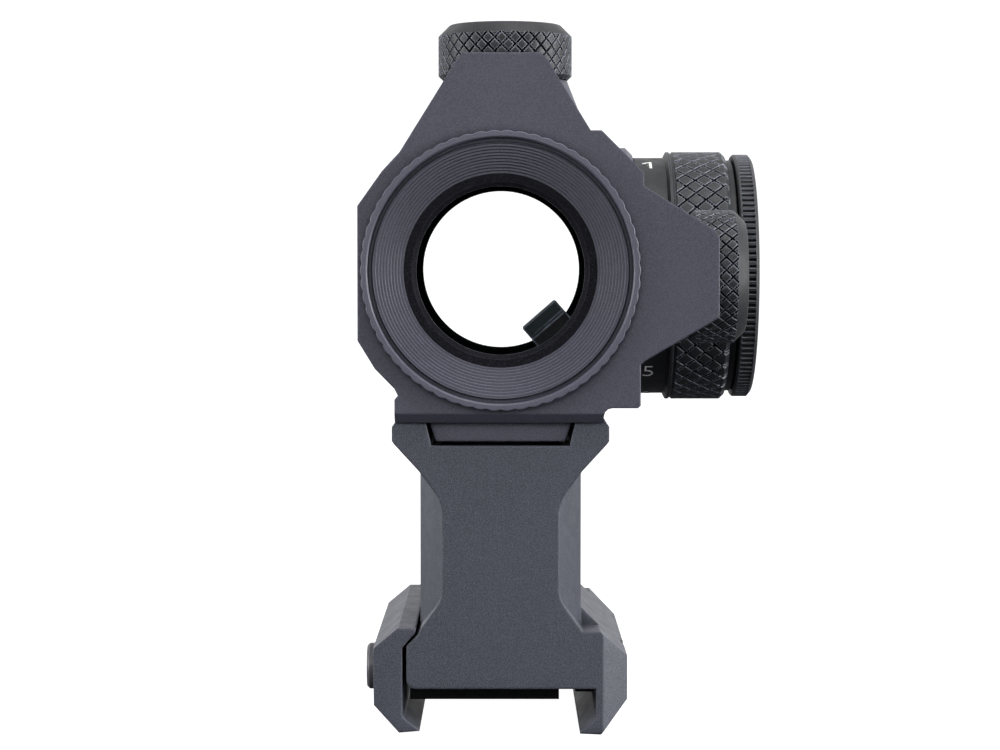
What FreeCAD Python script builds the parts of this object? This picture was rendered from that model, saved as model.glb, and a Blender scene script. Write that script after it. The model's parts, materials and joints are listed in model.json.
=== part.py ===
import FreeCAD, Part
import math
import os
import re
import Sketcher

# Compact tubed red dot sight on a tall riser with an accessory-rail clamp.
# Frame: origin at the centre of the rail-top seat, +Z up, +Y forward (away from
# the eye), +X to the shooter's right. All lengths in millimetres.

DIMENSIONS = {
    # bore and housing
    "bore_height": 46.5,
    "rear_y": -21.5,
    "block_front_y": -3.0,
    "blend_front_y": 2.4,
    "base_lap": 9.0,
    "dial_boss_root": 2.0,
    "tube_front_y": 41.5,
    "base_front_y": 20.0,
    "block_half": 15.75,
    "block_top": 15.4,
    "tube_radius": 15.0,
    "bell_radius": 15.6,
    "bell_y": 33.0,
    "housing_bore": 12.6,
    "edge_break": 0.4,
    "fine_break": 0.3,
    "spare": 1.0,
    "hairline": 0.02,
    "thin_gap": 0.15,
    "play": 0.1,
    "light_break": 0.2,
    "soft_break": 0.5,
    "ledge": 0.8,
    "arm_slope_left": 0.623,
    "arm_slope_right": 0.57,
    "side_guard": 24.1,
    "side_tip_half": 5.2,
    "side_root_half": 10.0,
    "side_arm_root": 9.5,
    "tip_break": 0.6,
    "shoulder_drop": 4.65,
    "brow_run": 2.3,
    "brow_drop": 3.4,
    "flank_high": 7.1,
    "flank_low": -7.7,
    "chin_run": 1.9,
    "chin_drop": 3.1,
    "waist_notch": 0.4,
    "waist_notch_high": 3.8,
    "heel_high": 1.65,
    "heel_round": 0.9,
    "base_half": 11.7,
    "base_low": -16.8,
    "base_undercut": 1.05,
    "tongue_half_top": 7.85,
    "tongue_half_low": 7.15,
    "tongue_low": -18.9,
    "tongue_end_gap": 1.5,
    # turrets, measured outwards from the bore axis
    "turret_y": -12.5,
    "elevation_x": 0.5,
    "windage_z": -0.7,
    "boss_top": 21.35,
    "boss_radius": 7.0,
    "guard_top": 23.9,
    "guard_half": 4.55,
    "guard_root": 13.0,
    "guard_root_half": 11.1,
    "cradle_gap": 0.22,
    "cap_radius": 7.53,
    "cap_low": 21.45,
    "cap_top": 27.6,
    "cap_chamfer": 1.3,
    "cap_lead": 0.45,
    "cap_ceiling": 25.4,
    "seal_room": 0.95,
    "neck_radius": 5.6,
    "neck_top": 24.6,
    "bush_shank": 5.0,
    "bush_low": 16.2,
    "chamber_radius": 4.2,
    "chamber_floor": 21.4,
    "adjuster_radius": 4.15,
    "adjuster_top": 24.2,
    "adjuster_shaft": 1.5,
    "adjuster_tip": 17.4,
    "plunger_radius": 3.0,
    "plunger_top": 19.6,
    "plunger_tip_radius": 1.8,
    "running_gap": 0.05,
    "seal_width": 0.7,
    "slot_width": 0.9,
    "cross_reach": 2.4,
    "slot_depth": 1.1,
    # rear bezel and ocular glass
    "bezel_rear_y": -22.5,
    "bezel_radius": 15.4,
    "bezel_plug": 14.5,
    "bezel_plug_front_y": -15.2,
    "rim_inner": 14.62,
    "cove_depth": 0.75,
    "bezel_steps": 10,
    "step_first": 14.0,
    "step_sink": 0.4,
    "step_pitch": 0.325,
    "step_drop": 0.25,
    "ocular_cell": 10.75,
    "ocular_retainer_bore": 9.33,
    "ocular_retainer_y": -19.5,
    "ocular_lens_y": -18.4,
    "ocular_lens_thick": 1.6,
    "ocular_seat_y": -16.0,
    "ocular_seat_bore": 9.7,
    "ocular_seal_inner": 9.85,
    # inner tube and objective
    "inner_radius": 11.3,
    "inner_bore": 10.25,
    "inner_rear_y": -14.2,
    "inner_front_y": 38.8,
    "head_radius": 11.8,
    "head_y": 33.4,
    "pivot_y": 30.0,
    "collar_radius": 11.9,
    "collar_width": 5.0,
    "pivot_gap": 0.04,
    "pivot_outer": 13.3,
    "pivot_width": 4.0,
    "pivot_play": 0.25,
    "lens_seat_y": 34.6,
    "lens_radius": 10.95,
    "lens_sag": 0.35,
    "rear_element": 1.5,
    "front_element": 1.5,
    "objective_retainer_bore": 10.3,
    "front_bezel_bore": 12.4,
    "front_bezel_y": 40.6,
    "bezel_notch": 1.6,
    "bezel_notch_reach": 2.0,
    # emitter, on the inner tube's wall at the lower right
    "emitter_angle": -49.0,
    "emitter_width": 5.0,
    "emitter_top": 6.65,
    "emitter_rear_y": -13.4,
    "emitter_front_y": -3.5,
    "emitter_step_y": -8.5,
    "emitter_step": 1.5,
    "chip_size": 1.2,
    "chip_thick": 0.5,
    # return spring, at the lower left
    "spring_angle": 225.0,
    "spring_radius": 1.85,
    "spring_wire": 0.6,
    "spring_low": 11.45,
    "spring_high": 15.0,
    "spring_turns": 3.0,
    "spring_pocket": 2.4,
    "plug_radius": 3.0,
    "plug_seat": 15.0,
    "plug_high": 17.0,
    # brightness dial, measured along +X from the bore axis
    "dial_y": 10.4,
    "dial_z": -0.7,
    "dial_boss_radius": 15.5,
    "dial_boss_face": 15.85,
    "dial_low": 15.95,
    "collar_dial_radius": 14.3,
    "collar_top": 19.65,
    "grip_radius": 15.0,
    "grip_low": 19.75,
    "grip_top": 26.95,
    "grip_chamfer": 0.45,
    "dial_rim_radius": 14.0,
    "dial_rim_top": 27.85,
    "dial_recess_floor": 14.35,
    "dial_recess_radius": 10.5,
    "post_radius": 4.0,
    "post_top": 20.4,
    "post_thread": 1.25,
    "post_thread_floor": 16.0,
    "web_low": 17.6,
    "web_top": 20.45,
    "web_ring_outer": 11.0,
    "retainer_radius": 5.6,
    "retainer_low": 20.55,
    "retainer_top": 21.45,
    "retainer_recess": 6.2,
    "battery_shelf": 21.6,
    "battery_pocket": 10.4,
    "plug_bore": 11.45,
    "plug_shelf": 25.6,
    "battery_low": 22.35,
    "battery_radius": 10.0,
    "battery_thick": 3.2,
    "battery_can_inner": 8.7,
    "battery_step": 0.3,
    "contact_thick": 0.2,
    "contact_inner": 8.9,
    "contact_fingers": 3,
    "contact_finger": 0.7,
    "battery_cap_radius": 14.7,
    "battery_cap_low": 27.95,
    "battery_cap_top": 30.2,
    "battery_cap_chamfer": 0.6,
    "battery_plug_radius": 11.4,
    "battery_plug_low": 25.65,
    "battery_seal_low": 26.6,
    "battery_seal_inner": 10.6,
    "coin_slot_width": 1.7,
    "coin_slot_depth": 1.1,
    "coin_slot_length": 20.0,
    "detent_circle": 12.0,
    "detent_ball": 0.8,
    "detent_wire": 0.25,
    "detent_turns": 3,
    "detent_groove": 0.5,
    "detent_groove_half": 0.9,
    "detent_count": 12,
    "detent_hole_floor": 12.6,
    "dimple_depth": 0.15,
    "seal_groove_inner": 13.2,
    "seal_groove_outer": 14.0,
    "seal_groove_depth": 0.7,
    "board_low": 14.4,
    "board_thick": 0.8,
    "board_inner": 4.6,
    "board_outer": 10.2,
    "pad_circle": 8.2,
    "pad_radius": 0.7,
    "pad_thick": 0.05,
    "wiper_width": 2.2,
    "wiper_thick": 0.3,
    # riser
    "mount_half_length": 20.0,
    "riser_top": 29.7,
    "ear_half": 12.06,
    "ear_low": 27.4,
    "ear_round": 0.5,
    "neck_half": 9.08,
    "neck_z": 24.3,
    "waist_half": 6.48,
    "waist_top": 20.8,
    "waist_low": 10.0,
    "waist_depth": 6.0,
    "waist_round": 4.5,
    "saddle": 2.4,
    "foot_bevel": 1.2,
    "foot_round": 1.0,
    "foot_top": 6.0,
    "foot_left": 10.46,
    "recess_floor": 27.1,
    "recess_half_low": 7.67,
    "recess_half_top": 8.3,
    "wall_right": 10.65,
    "jaw_outer": 14.2,
    "jaw_tip": 8.85,
    "jaw_low": -5.1,
    "jaw_lip": -3.1,
    "jaw_side_top": 3.4,
    "jaw_side_low": -1.5,
    "jaw_under": 11.2,
    "jaw_shoulder": 11.6,
    "jaw_rear_relief": 2.6,
    # clamp jaw, mirrored side
    "clamp_top": 6.8,
    "clamp_lip_x": 9.4,
    "clamp_crown_x": 11.45,
    "clamp_side_top": 4.5,
    "clamp_side_low": -1.8,
    "clamp_low": -4.9,
    "clamp_under": 11.3,
    "clamp_tip": 9.0,
    "clamp_tip_z": -4.7,
    "clamp_inner": 10.95,
    "clamp_lip": -3.3,
    "clamp_gap_z": 4.6,
    "clamp_notch_x": 9.5,
    "clamp_notch_z": 6.25,
    "key_y": 1.0,
    "key_width": 5.0,
    "key_low": 1.3,
    "key_high": 4.1,
    "key_tip": 6.2,
    "key_gap": 0.08,
    # clamp screw and recoil lug
    "screw_y": -8.0,
    "screw_z": 0.8,
    "screw_radius": 1.95,
    "screw_head_radius": 2.65,
    "screw_head_out": 15.4,
    "screw_head_in": 12.5,
    "screw_tip": 12.6,
    "insert_radius": 3.0,
    "insert_in": 8.6,
    "insert_out": 14.1,
    "socket_radius": 1.45,
    "socket_depth": 1.6,
    "lug_width": 5.0,
    "lug_low": -2.7,
    "lug_high": 3.6,
    "lug_left": 10.4,
    "lug_right": 6.7,
    # base screws
    "base_screw_x": 5.2,
    "base_screw_rear_y": -14.2,
    "base_screw_front_y": 8.0,
    "base_screw_radius": 1.45,
    "base_screw_head": 2.75,
    "base_screw_head_high": 3.0,
    "base_screw_seat": 22.0,
    "base_screw_tip": 31.6,
    "base_hole_gap": 0.15,
}

doc = FreeCAD.newDocument("red_dot_finder")
sheet = doc.addObject("Spreadsheet::Sheet", "dims")
for row, (alias, number) in enumerate(DIMENSIONS.items(), start=1):
    sheet.set("A%d" % row, str(number))
    sheet.setAlias("A%d" % row, alias)
doc.recompute()

NODES = []


def bound(text):
    """Turn bare aliases in an expression into references to the sheet."""
    def link(match):
        word = match.group(0)
        return "dims." + word if word in DIMENSIONS else word
    return re.sub(r"[A-Za-z_][A-Za-z_0-9]*", link, text)


def value(text):
    """Number that an expression over the sheet has now."""
    return float(sheet.evalExpression(bound(text)))


def drive(item, prop, text):
    item.setExpression(prop, bound(text))


def node(item, label):
    """Mark an object as one kept sub-part of the assembly."""
    item.Label = label
    NODES.append(item)
    return item


# ---- places: each turned piece has its own axis ----
TURNS = {
    "upright": FreeCAD.Rotation(),
    "bore": FreeCAD.Rotation(FreeCAD.Vector(1, 0, 0), -90),
    "elevation": FreeCAD.Rotation(),
    "windage": FreeCAD.Rotation(FreeCAD.Vector(0, 1, 0), 90),
    "dial": FreeCAD.Rotation(FreeCAD.Vector(0, 1, 0), 90),
    "clamp": FreeCAD.Rotation(FreeCAD.Vector(0, 1, 0), 90),
}


def base_of(place, side, across, along):
    """Expressions for the point (side, across, along) of a place's own axes."""
    if place == "upright":
        return side, across, along
    if place == "bore":
        return side, along, "bore_height - (%s)" % across
    if place == "elevation":
        return ("elevation_x + (%s)" % side, "turret_y + (%s)" % across,
                "bore_height + (%s)" % along)
    if place == "windage":
        return along, "turret_y + (%s)" % across, "bore_height + windage_z - (%s)" % side
    if place == "dial":
        return along, "dial_y + (%s)" % across, "bore_height + dial_z - (%s)" % side
    return along, "screw_y + (%s)" % across, "screw_z - (%s)" % side


def put(item, place, side="0", across="0", along="0"):
    item.Placement = FreeCAD.Placement(FreeCAD.Vector(), TURNS[place])
    for axis, text in zip("xyz", base_of(place, side, across, along)):
        drive(item, "Placement.Base." + axis, text)
    return item


# ---- building blocks ----
def outline(body, name, plane, corners):
    """Closed sketch of straight lines whose corners are all bound to the sheet."""
    sketch = body.newObject("Sketcher::SketchObject", name)
    planes = {item.Role: item for item in body.Origin.OriginFeatures}
    sketch.AttachmentSupport = [(planes[plane], "")]
    sketch.MapMode = "FlatFace"
    spots = [FreeCAD.Vector(value(a), value(b), 0) for a, b in corners]
    count = len(spots)
    for index in range(count):
        sketch.addGeometry(Part.LineSegment(spots[index], spots[(index + 1) % count]))
    for index in range(count):
        sketch.addConstraint(Sketcher.Constraint("Coincident", index, 2, (index + 1) % count, 1))
    for index, corner in enumerate(corners):
        for kind, axis, text, number in (("DistanceX", -2, corner[0], spots[index].x),
                                         ("DistanceY", -1, corner[1], spots[index].y)):
            if text == "0":
                sketch.addConstraint(Sketcher.Constraint("PointOnObject", index, 1, axis))
                continue
            rule = Sketcher.Constraint(kind, -1, 1, index, 1, number)
            place = sketch.addConstraint(rule)
            drive(sketch, "Constraints[%d]" % place, text)
    return sketch


def turned(name, corners, place):
    """Body of revolution: corners are (radius, distance along the axis)."""
    body = doc.addObject("PartDesign::Body", name)
    sketch = outline(body, name + "_section", "XZ_Plane", corners)
    spin = body.newObject("PartDesign::Revolution", name + "_turn")
    spin.Profile = sketch
    spin.ReferenceAxis = (sketch, ["V_Axis"])
    spin.Angle = 360
    sketch.Visibility = False
    return put(body, place)


def ring(name, place, inner, outer, low, high):
    return turned(name, [(inner, low), (outer, low), (outer, high), (inner, high)], place)


def extruded(name, corners, rear, front, height="0"):
    """Body with a constant section in X and Z, from rear to front along +Y."""
    body = doc.addObject("PartDesign::Body", name)
    sketch = outline(body, name + "_section", "XZ_Plane", corners)
    pad = body.newObject("PartDesign::Pad", name + "_pad")
    pad.Profile = sketch
    pad.Reversed = True
    drive(pad, "Length", "(%s) - (%s)" % (front, rear))
    sketch.Visibility = False
    return put(body, "upright", "0", rear, height)


def cylinder(name, place, radius, low, high, side="0", across="0"):
    item = doc.addObject("Part::Cylinder", name)
    drive(item, "Radius", radius)
    drive(item, "Height", "(%s) - (%s)" % (high, low))
    return put(item, place, side, across, low)


def cone(name, place, wide, narrow, low, high):
    item = doc.addObject("Part::Cone", name)
    drive(item, "Radius1", wide)
    drive(item, "Radius2", narrow)
    drive(item, "Height", "(%s) - (%s)" % (high, low))
    return put(item, place, "0", "0", low)


def sphere(name, place, radius, along, side="0", across="0"):
    item = doc.addObject("Part::Sphere", name)
    drive(item, "Radius", radius)
    return put(item, place, side, across, along)


def block(name, place, side, across, along):
    """Box given by (low, high) pairs along a place's own three axes."""
    item = doc.addObject("Part::Box", name)
    for prop, pair in (("Length", side), ("Width", across), ("Height", along)):
        drive(item, prop, "(%s) - (%s)" % (pair[1], pair[0]))
    return put(item, place, side[0], across[0], along[0])


def hexagon(name, place, radius, low, high, side="0", across="0"):
    item = doc.addObject("Part::Prism", name)
    item.Polygon = 6
    drive(item, "Circumradius", radius)
    drive(item, "Height", "(%s) - (%s)" % (high, low))
    return put(item, place, side, across, low)


def joined(name, items):
    item = doc.addObject("Part::MultiFuse", name)
    item.Shapes = items
    item.Refine = True
    return item


def cut(name, base, tools):
    item = doc.addObject("Part::Cut", name)
    item.Base = base
    item.Tool = tools[0] if len(tools) == 1 else joined(name + "_tools", tools)
    item.Refine = True
    return item


def common(name, items):
    item = doc.addObject("Part::MultiCommon", name)
    item.Shapes = items
    return item


# ---- housing ----
def guard_outline():
    """Rear face outline with both guard arms, about the bore axis."""
    top_arm = [
        ("elevation_x - guard_half", "guard_top"),
        ("elevation_x + guard_half - tip_break", "guard_top"),
        ("elevation_x + guard_half", "guard_top - tip_break"),
        ("elevation_x + guard_half + (guard_top - block_top) * arm_slope_right", "block_top"),
        ("block_half - shoulder_drop", "block_top"),
        ("block_half", "block_top - shoulder_drop"),
    ]
    side_arm = [
        ("block_half", "windage_z + side_root_half"),
        ("side_guard - tip_break", "windage_z + side_tip_half"),
        ("side_guard", "windage_z + side_tip_half - 1.5 * tip_break"),
        ("side_guard", "windage_z - side_tip_half + 1.5 * tip_break"),
        ("side_guard - fine_break", "windage_z - side_tip_half + tip_break"),
    ]
    rise = "(guard_top - tip_break - guard_root)"
    top_left = [
        ("-guard_root_half", "guard_root"),
        ("-guard_root_half + %s * arm_slope_left" % rise, "guard_top - tip_break"),
    ]
    return top_arm + side_arm + lower_outline() + top_left


def lower_outline():
    """Lower right corner, base and left flank, clockwise seen from the rear."""
    return [
        ("block_half - fine_break", "windage_z - side_arm_root"),
        ("block_half - fine_break", "base_low + heel_high + fine_break"),
        ("block_half - 2 * fine_break", "base_low + heel_high"),
        ("base_half - fine_break + heel_round", "base_low + heel_high"),
        ("base_half - fine_break + heel_round * (1 - sin(30 deg))",
         "base_low + heel_high - heel_round * (1 - cos(30 deg))"),
        ("base_half - fine_break + heel_round * (1 - sin(60 deg))",
         "base_low + heel_high - heel_round * (1 - cos(60 deg))"),
        ("base_half - fine_break", "base_low + heel_high - heel_round"),
        ("base_half - fine_break", "base_low + fine_break"),
        ("base_half - 2 * fine_break", "base_low"),
        ("-base_half", "base_low"),
        ("-base_half", "base_low + waist_notch_high - 3 * waist_notch"),
        ("-base_half + waist_notch", "base_low + waist_notch_high - 2 * waist_notch"),
        ("-base_half", "base_low + waist_notch_high"),
        ("-block_half + chin_run", "flank_low - chin_drop"),
        ("-block_half", "flank_low"),
        ("-block_half", "flank_high"),
        ("-block_half + brow_run + edge_break", "flank_high + brow_drop + edge_break"),
    ]


def block_outline():
    """The same outline without the arms, for the part in front of the turrets."""
    arch = [
        ("-guard_root_half + (block_top - guard_root)", "block_top"),
        ("block_half - shoulder_drop", "block_top"),
        ("block_half", "block_top - shoulder_drop"),
        ("block_half", "windage_z - side_arm_root"),
    ]
    return arch + lower_outline() + [("-guard_root_half", "guard_root")]


def turret_tools(place, tag):
    """Boss cut-outs: cap clearance, bush hole, plunger window."""
    clear = "cap_radius + cradle_gap"
    return [
        cylinder(tag + "_cap_room", place, clear, "boss_top", "cap_top + housing_bore"),
        cylinder(tag + "_bush_hole", place, "bush_shank", "housing_bore - spare", "boss_top + spare"),
    ]


def detent_hole():
    return cylinder("detent_hole", "dial", "detent_ball + running_gap", "detent_hole_floor",
                    "dial_boss_face + spare", "-detent_circle")


def spring_axis(item, low):
    """Lay a piece radially at the return spring's angle, starting at radius low."""
    angle = math.radians(value("spring_angle"))
    outward = FreeCAD.Vector(math.cos(angle), 0, math.sin(angle))
    turn = FreeCAD.Rotation(FreeCAD.Vector(0, 0, 1), outward)
    item.Placement = FreeCAD.Placement(FreeCAD.Vector(), turn)
    drive(item, "Placement.Base.x", "(%s) * cos(spring_angle * 1 deg)" % low)
    drive(item, "Placement.Base.y", "turret_y")
    drive(item, "Placement.Base.z", "bore_height + (%s) * sin(spring_angle * 1 deg)" % low)
    return item


def spring_cylinder(name, radius, low, high):
    item = doc.addObject("Part::Cylinder", name)
    drive(item, "Radius", radius)
    drive(item, "Height", "(%s) - (%s)" % (high, low))
    return spring_axis(item, low)


def base_screw_spots():
    return [(side + "base_screw_x", across)
            for side in ("-", "")
            for across in ("base_screw_rear_y", "base_screw_front_y")]


def housing():
    guard = extruded("guard_block", guard_outline(), "rear_y", "turret_y", "bore_height")
    body = extruded("main_block", block_outline(), "rear_y", "block_front_y", "bore_height")
    tube = turned("outer_tube", [
        ("0", "turret_y"),
        ("tube_radius", "turret_y"),
        ("tube_radius", "bell_y - spare"),
        ("bell_radius", "bell_y"),
        ("bell_radius", "tube_front_y - edge_break"),
        ("bell_radius - edge_break", "tube_front_y"),
        ("0", "tube_front_y"),
    ], "bore")
    blend = cone("block_blend", "bore", "block_half + spare", "tube_radius", "block_front_y", "blend_front_y")
    blend_room = block("blend_room", "bore", ("-block_half", "block_half"),
                       ("-block_top", "block_half"), ("block_front_y", "dial_y"))
    base = extruded("base_block", [
        ("-base_half", "base_low"),
        ("base_half - light_break", "base_low"),
        ("base_half - light_break", "base_low + base_lap"),
        ("-base_half", "base_low + base_lap"),
    ], "turret_y", "base_front_y", "bore_height")
    tongue = extruded("tongue", [
        ("-tongue_half_top", "base_low + soft_break"),
        ("-tongue_half_top", "base_low"),
        ("-tongue_half_low", "tongue_low"),
        ("tongue_half_low", "tongue_low"),
        ("tongue_half_top", "base_low"),
        ("tongue_half_top", "base_low + soft_break"),
    ], "-mount_half_length + edge_break", "base_front_y - tongue_end_gap", "bore_height")
    dial_boss = turned("dial_boss", [
        ("0", "dial_boss_root"),
        ("dial_boss_radius", "dial_boss_root"),
        ("dial_boss_radius", "dial_boss_face - 2 * edge_break"),
        ("dial_boss_radius - 2 * edge_break", "dial_boss_face"),
        ("0", "dial_boss_face"),
    ], "dial")
    bosses = []
    for tag in ("elevation", "windage"):
        flare = cone(tag + "_flare", tag, "guard_root_half", "boss_radius",
                     "guard_root - 2 * spare", "boss_top")
        room = block(tag + "_flare_room", "upright", ("-guard_top", "guard_top"),
                     ("rear_y", "block_front_y"),
                     ("bore_height - block_half", "bore_height + guard_top"))
        bosses.append(common(tag + "_boss", [flare, room]))
    solid = joined("housing_solid", [guard, body, tube, common("blend", [blend, blend_room]),
                                     base, tongue, dial_boss] + bosses)

    bore = turned("housing_bore_tool", [
        ("0", "rear_y - spare"),
        ("bezel_plug", "rear_y - spare"),
        ("bezel_plug", "bezel_plug_front_y"),
        ("housing_bore", "bezel_plug_front_y"),
        ("housing_bore", "pivot_y - pivot_width / 2 - pivot_play"),
        ("pivot_outer + pivot_gap", "pivot_y - pivot_width / 2 - pivot_play"),
        ("pivot_outer + pivot_gap", "tube_front_y + spare"),
        ("0", "tube_front_y + spare"),
    ], "bore")
    post_room = turned("dial_recess", [
        ("post_radius", "dial_recess_floor"),
        ("dial_recess_radius", "dial_recess_floor"),
        ("dial_recess_radius", "dial_boss_face + spare"),
        ("post_radius", "dial_boss_face + spare"),
    ], "dial")
    seal_room = ring("dial_seal_groove", "dial", "seal_groove_inner", "seal_groove_outer",
                     "dial_boss_face - seal_groove_depth", "dial_boss_face + spare")
    pocket = spring_cylinder("spring_pocket", "spring_pocket", "housing_bore - spare", "plug_seat + play")
    plug_hole = spring_cylinder("plug_hole", "plug_radius", "plug_seat", "plug_high + base_lap")
    undercut = undercut_tool()
    screws = [cylinder("base_thread_%d" % number, "upright", "base_screw_radius",
                       "bore_height + tongue_low - spare", "base_screw_tip + tip_break", side, across)
              for number, (side, across) in enumerate(base_screw_spots())]
    tools = [bore, post_room, seal_room, detent_hole(), pocket, plug_hole, undercut] + screws
    tools += turret_tools("elevation", "elevation") + turret_tools("windage", "windage")
    tools.append(cylinder("dial_room", "dial", "grip_radius + fine_break", "dial_boss_face",
                          "battery_cap_top"))
    shell = cut("housing_shell", solid, tools)

    post = cylinder("dial_post", "dial", "post_radius", "dial_recess_floor - soft_break", "post_top")
    thread = cylinder("dial_post_thread", "dial", "post_thread", "post_thread_floor", "post_top + spare")
    whole = joined("housing_whole", [shell, post])
    return node(cut("housing_cut", whole, [thread]), "housing")


def undercut_tool():
    """Wedge that bevels the lower rear edge of the base."""
    body = doc.addObject("PartDesign::Body", "rear_undercut")
    sketch = outline(body, "rear_undercut_section", "YZ_Plane", [
        ("rear_y - spare", "base_low - hairline"),
        ("rear_y - spare", "base_low + base_undercut + spare"),
        ("rear_y + base_undercut + hairline", "base_low - hairline"),
    ])
    pad = body.newObject("PartDesign::Pad", "rear_undercut_pad")
    pad.Profile = sketch
    pad.Midplane = True
    drive(pad, "Length", "3 * block_half")
    return put(body, "upright", "0", "0", "bore_height")


# ---- rear bezel and ocular glass ----
def rear_bezel():
    steps = []
    count = int(value("bezel_steps"))
    for index in range(count):
        radius = "step_first - %d * step_pitch" % index
        depth = "bezel_rear_y + step_sink + %d * step_drop" % index
        deeper = "bezel_rear_y + step_sink + %d * step_drop" % (index + 1)
        steps += [(radius, depth), (radius, deeper)]
    profile = [
        ("rim_inner + thin_gap", "bezel_rear_y"),
        ("bezel_radius - edge_break", "bezel_rear_y"),
        ("bezel_radius", "bezel_rear_y + edge_break"),
        ("bezel_radius", "rear_y"),
        ("bezel_plug", "rear_y"),
        ("bezel_plug", "bezel_plug_front_y"),
        ("ocular_seat_bore", "bezel_plug_front_y"),
        ("ocular_seat_bore", "ocular_seat_y"),
        ("ocular_cell + hairline", "ocular_seat_y"),
        ("ocular_cell + hairline", "bezel_rear_y + step_sink + %d * step_drop" % count),
    ]
    profile += list(reversed(steps))
    profile += [("step_first + play", "bezel_rear_y + cove_depth"),
                ("rim_inner", "bezel_rear_y + cove_depth"),
                ("rim_inner", "bezel_rear_y + thin_gap")]
    return node(turned("rear_bezel", profile, "bore"), "rear_bezel")


def ocular_parts():
    glass = turned("ocular_lens", [
        ("0", "ocular_lens_y"),
        ("ocular_cell - fine_break", "ocular_lens_y"),
        ("ocular_cell - running_gap", "ocular_lens_y + light_break"),
        ("ocular_cell - running_gap", "ocular_lens_y + ocular_lens_thick"),
        ("0", "ocular_lens_y + ocular_lens_thick"),
    ], "bore")
    node(glass, "ocular_lens")
    node(ring("ocular_seal", "bore", "ocular_seal_inner", "ocular_cell",
              "ocular_lens_y + ocular_lens_thick", "ocular_seat_y"), "ocular_seal")
    holder = turned("ocular_retainer_ring", [
        ("ocular_retainer_bore", "ocular_lens_y - light_break"),
        ("ocular_retainer_bore + thin_gap", "ocular_lens_y"),
        ("ocular_cell", "ocular_lens_y"),
        ("ocular_cell", "ocular_retainer_y"),
        ("ocular_retainer_bore + soft_break", "ocular_retainer_y"),
        ("ocular_retainer_bore", "ocular_retainer_y + fine_break"),
    ], "bore")
    return node(holder, "ocular_retainer")


# ---- inner tube, its pivot and the objective ----
def inner_tube():
    wall = turned("inner_wall", [
        ("inner_bore", "inner_rear_y"),
        ("inner_radius - fine_break", "inner_rear_y"),
        ("inner_radius", "inner_rear_y + fine_break"),
        ("inner_radius", "head_y"),
        ("head_radius", "head_y + soft_break"),
        ("head_radius", "inner_front_y - fine_break"),
        ("head_radius - fine_break", "inner_front_y"),
        ("lens_radius", "inner_front_y"),
        ("lens_radius", "lens_seat_y"),
        ("inner_bore", "lens_seat_y"),
    ], "bore")
    ball = common("collar_zone", [
        sphere("collar_ball", "bore", "collar_radius", "pivot_y"),
        cylinder("collar_slab", "bore", "collar_radius + spare", "pivot_y - collar_width / 2",
                 "pivot_y + collar_width / 2"),
    ])
    collar = cut("pivot_collar", ball, [
        cylinder("collar_bore", "bore", "inner_bore + light_break", "pivot_y - collar_width",
                 "pivot_y + collar_width")])
    return node(joined("inner_tube", [wall, collar]), "inner_tube")


def pivot_ring():
    zone = common("pivot_zone", [
        sphere("pivot_outer_ball", "bore", "pivot_outer", "pivot_y"),
        cylinder("pivot_slab", "bore", "pivot_outer + spare", "pivot_y - pivot_width / 2",
                 "pivot_y + pivot_width / 2"),
    ])
    seat = sphere("pivot_seat", "bore", "collar_radius + pivot_gap", "pivot_y")
    return node(cut("pivot_ring", zone, [seat]), "pivot_ring")


def objective_parts():
    rear = "lens_seat_y + rear_element"
    front = "lens_seat_y + rear_element + front_element"
    node(turned("objective_lens_rear", [
        ("0", "lens_seat_y + lens_sag"),
        ("inner_bore / 2", "lens_seat_y + 3 * lens_sag / 4"),
        ("inner_bore", "lens_seat_y"),
        ("lens_radius - running_gap", "lens_seat_y"),
        ("lens_radius - running_gap", rear),
        ("0", rear),
    ], "bore"), "objective_lens_rear")
    node(turned("objective_lens_front", [
        ("0", rear),
        ("lens_radius - running_gap", rear),
        ("lens_radius - running_gap", front + " - light_break"),
        ("lens_radius - light_break", front),
        ("0", front),
    ], "bore"), "objective_lens_front")
    holder = turned("objective_retainer_ring", [
        ("objective_retainer_bore", front),
        ("lens_radius", front),
        ("lens_radius", "inner_front_y - play"),
        ("objective_retainer_bore + light_break", "inner_front_y - play"),
        ("objective_retainer_bore", "inner_front_y - edge_break"),
    ], "bore")
    node(holder, "objective_retainer")
    bezel = ring("front_bezel_ring", "bore", "front_bezel_bore", "pivot_outer",
                 "pivot_y + pivot_width / 2 + pivot_play", "front_bezel_y")
    notches = [block("bezel_notch_%d" % sign, "bore",
                     ("%d * pivot_outer - bezel_notch_reach" % sign,
                      "%d * pivot_outer + bezel_notch_reach" % sign),
                     ("-bezel_notch / 2", "bezel_notch / 2"),
                     ("front_bezel_y - slot_depth", "front_bezel_y + spare")) for sign in (-1, 1)]
    return node(cut("front_bezel", bezel, notches), "front_bezel")


def radial_block(name, low, high, half, rear, front):
    """Box on the emitter's radial line, from radius low to high."""
    item = doc.addObject("Part::Box", name)
    drive(item, "Length", "(%s) - (%s)" % (high, low))
    drive(item, "Width", "(%s) - (%s)" % (front, rear))
    drive(item, "Height", "2 * (%s)" % half)
    turn = FreeCAD.Rotation(FreeCAD.Vector(0, 1, 0), -value("emitter_angle"))
    item.Placement = FreeCAD.Placement(FreeCAD.Vector(), turn)
    angle = "emitter_angle * 1 deg"
    drive(item, "Placement.Base.x", "(%s) * cos(%s) + (%s) * sin(%s)" % (low, angle, half, angle))
    drive(item, "Placement.Base.y", rear)
    drive(item, "Placement.Base.z",
          "bore_height + (%s) * sin(%s) - (%s) * cos(%s)" % (low, angle, half, angle))
    return item


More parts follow.
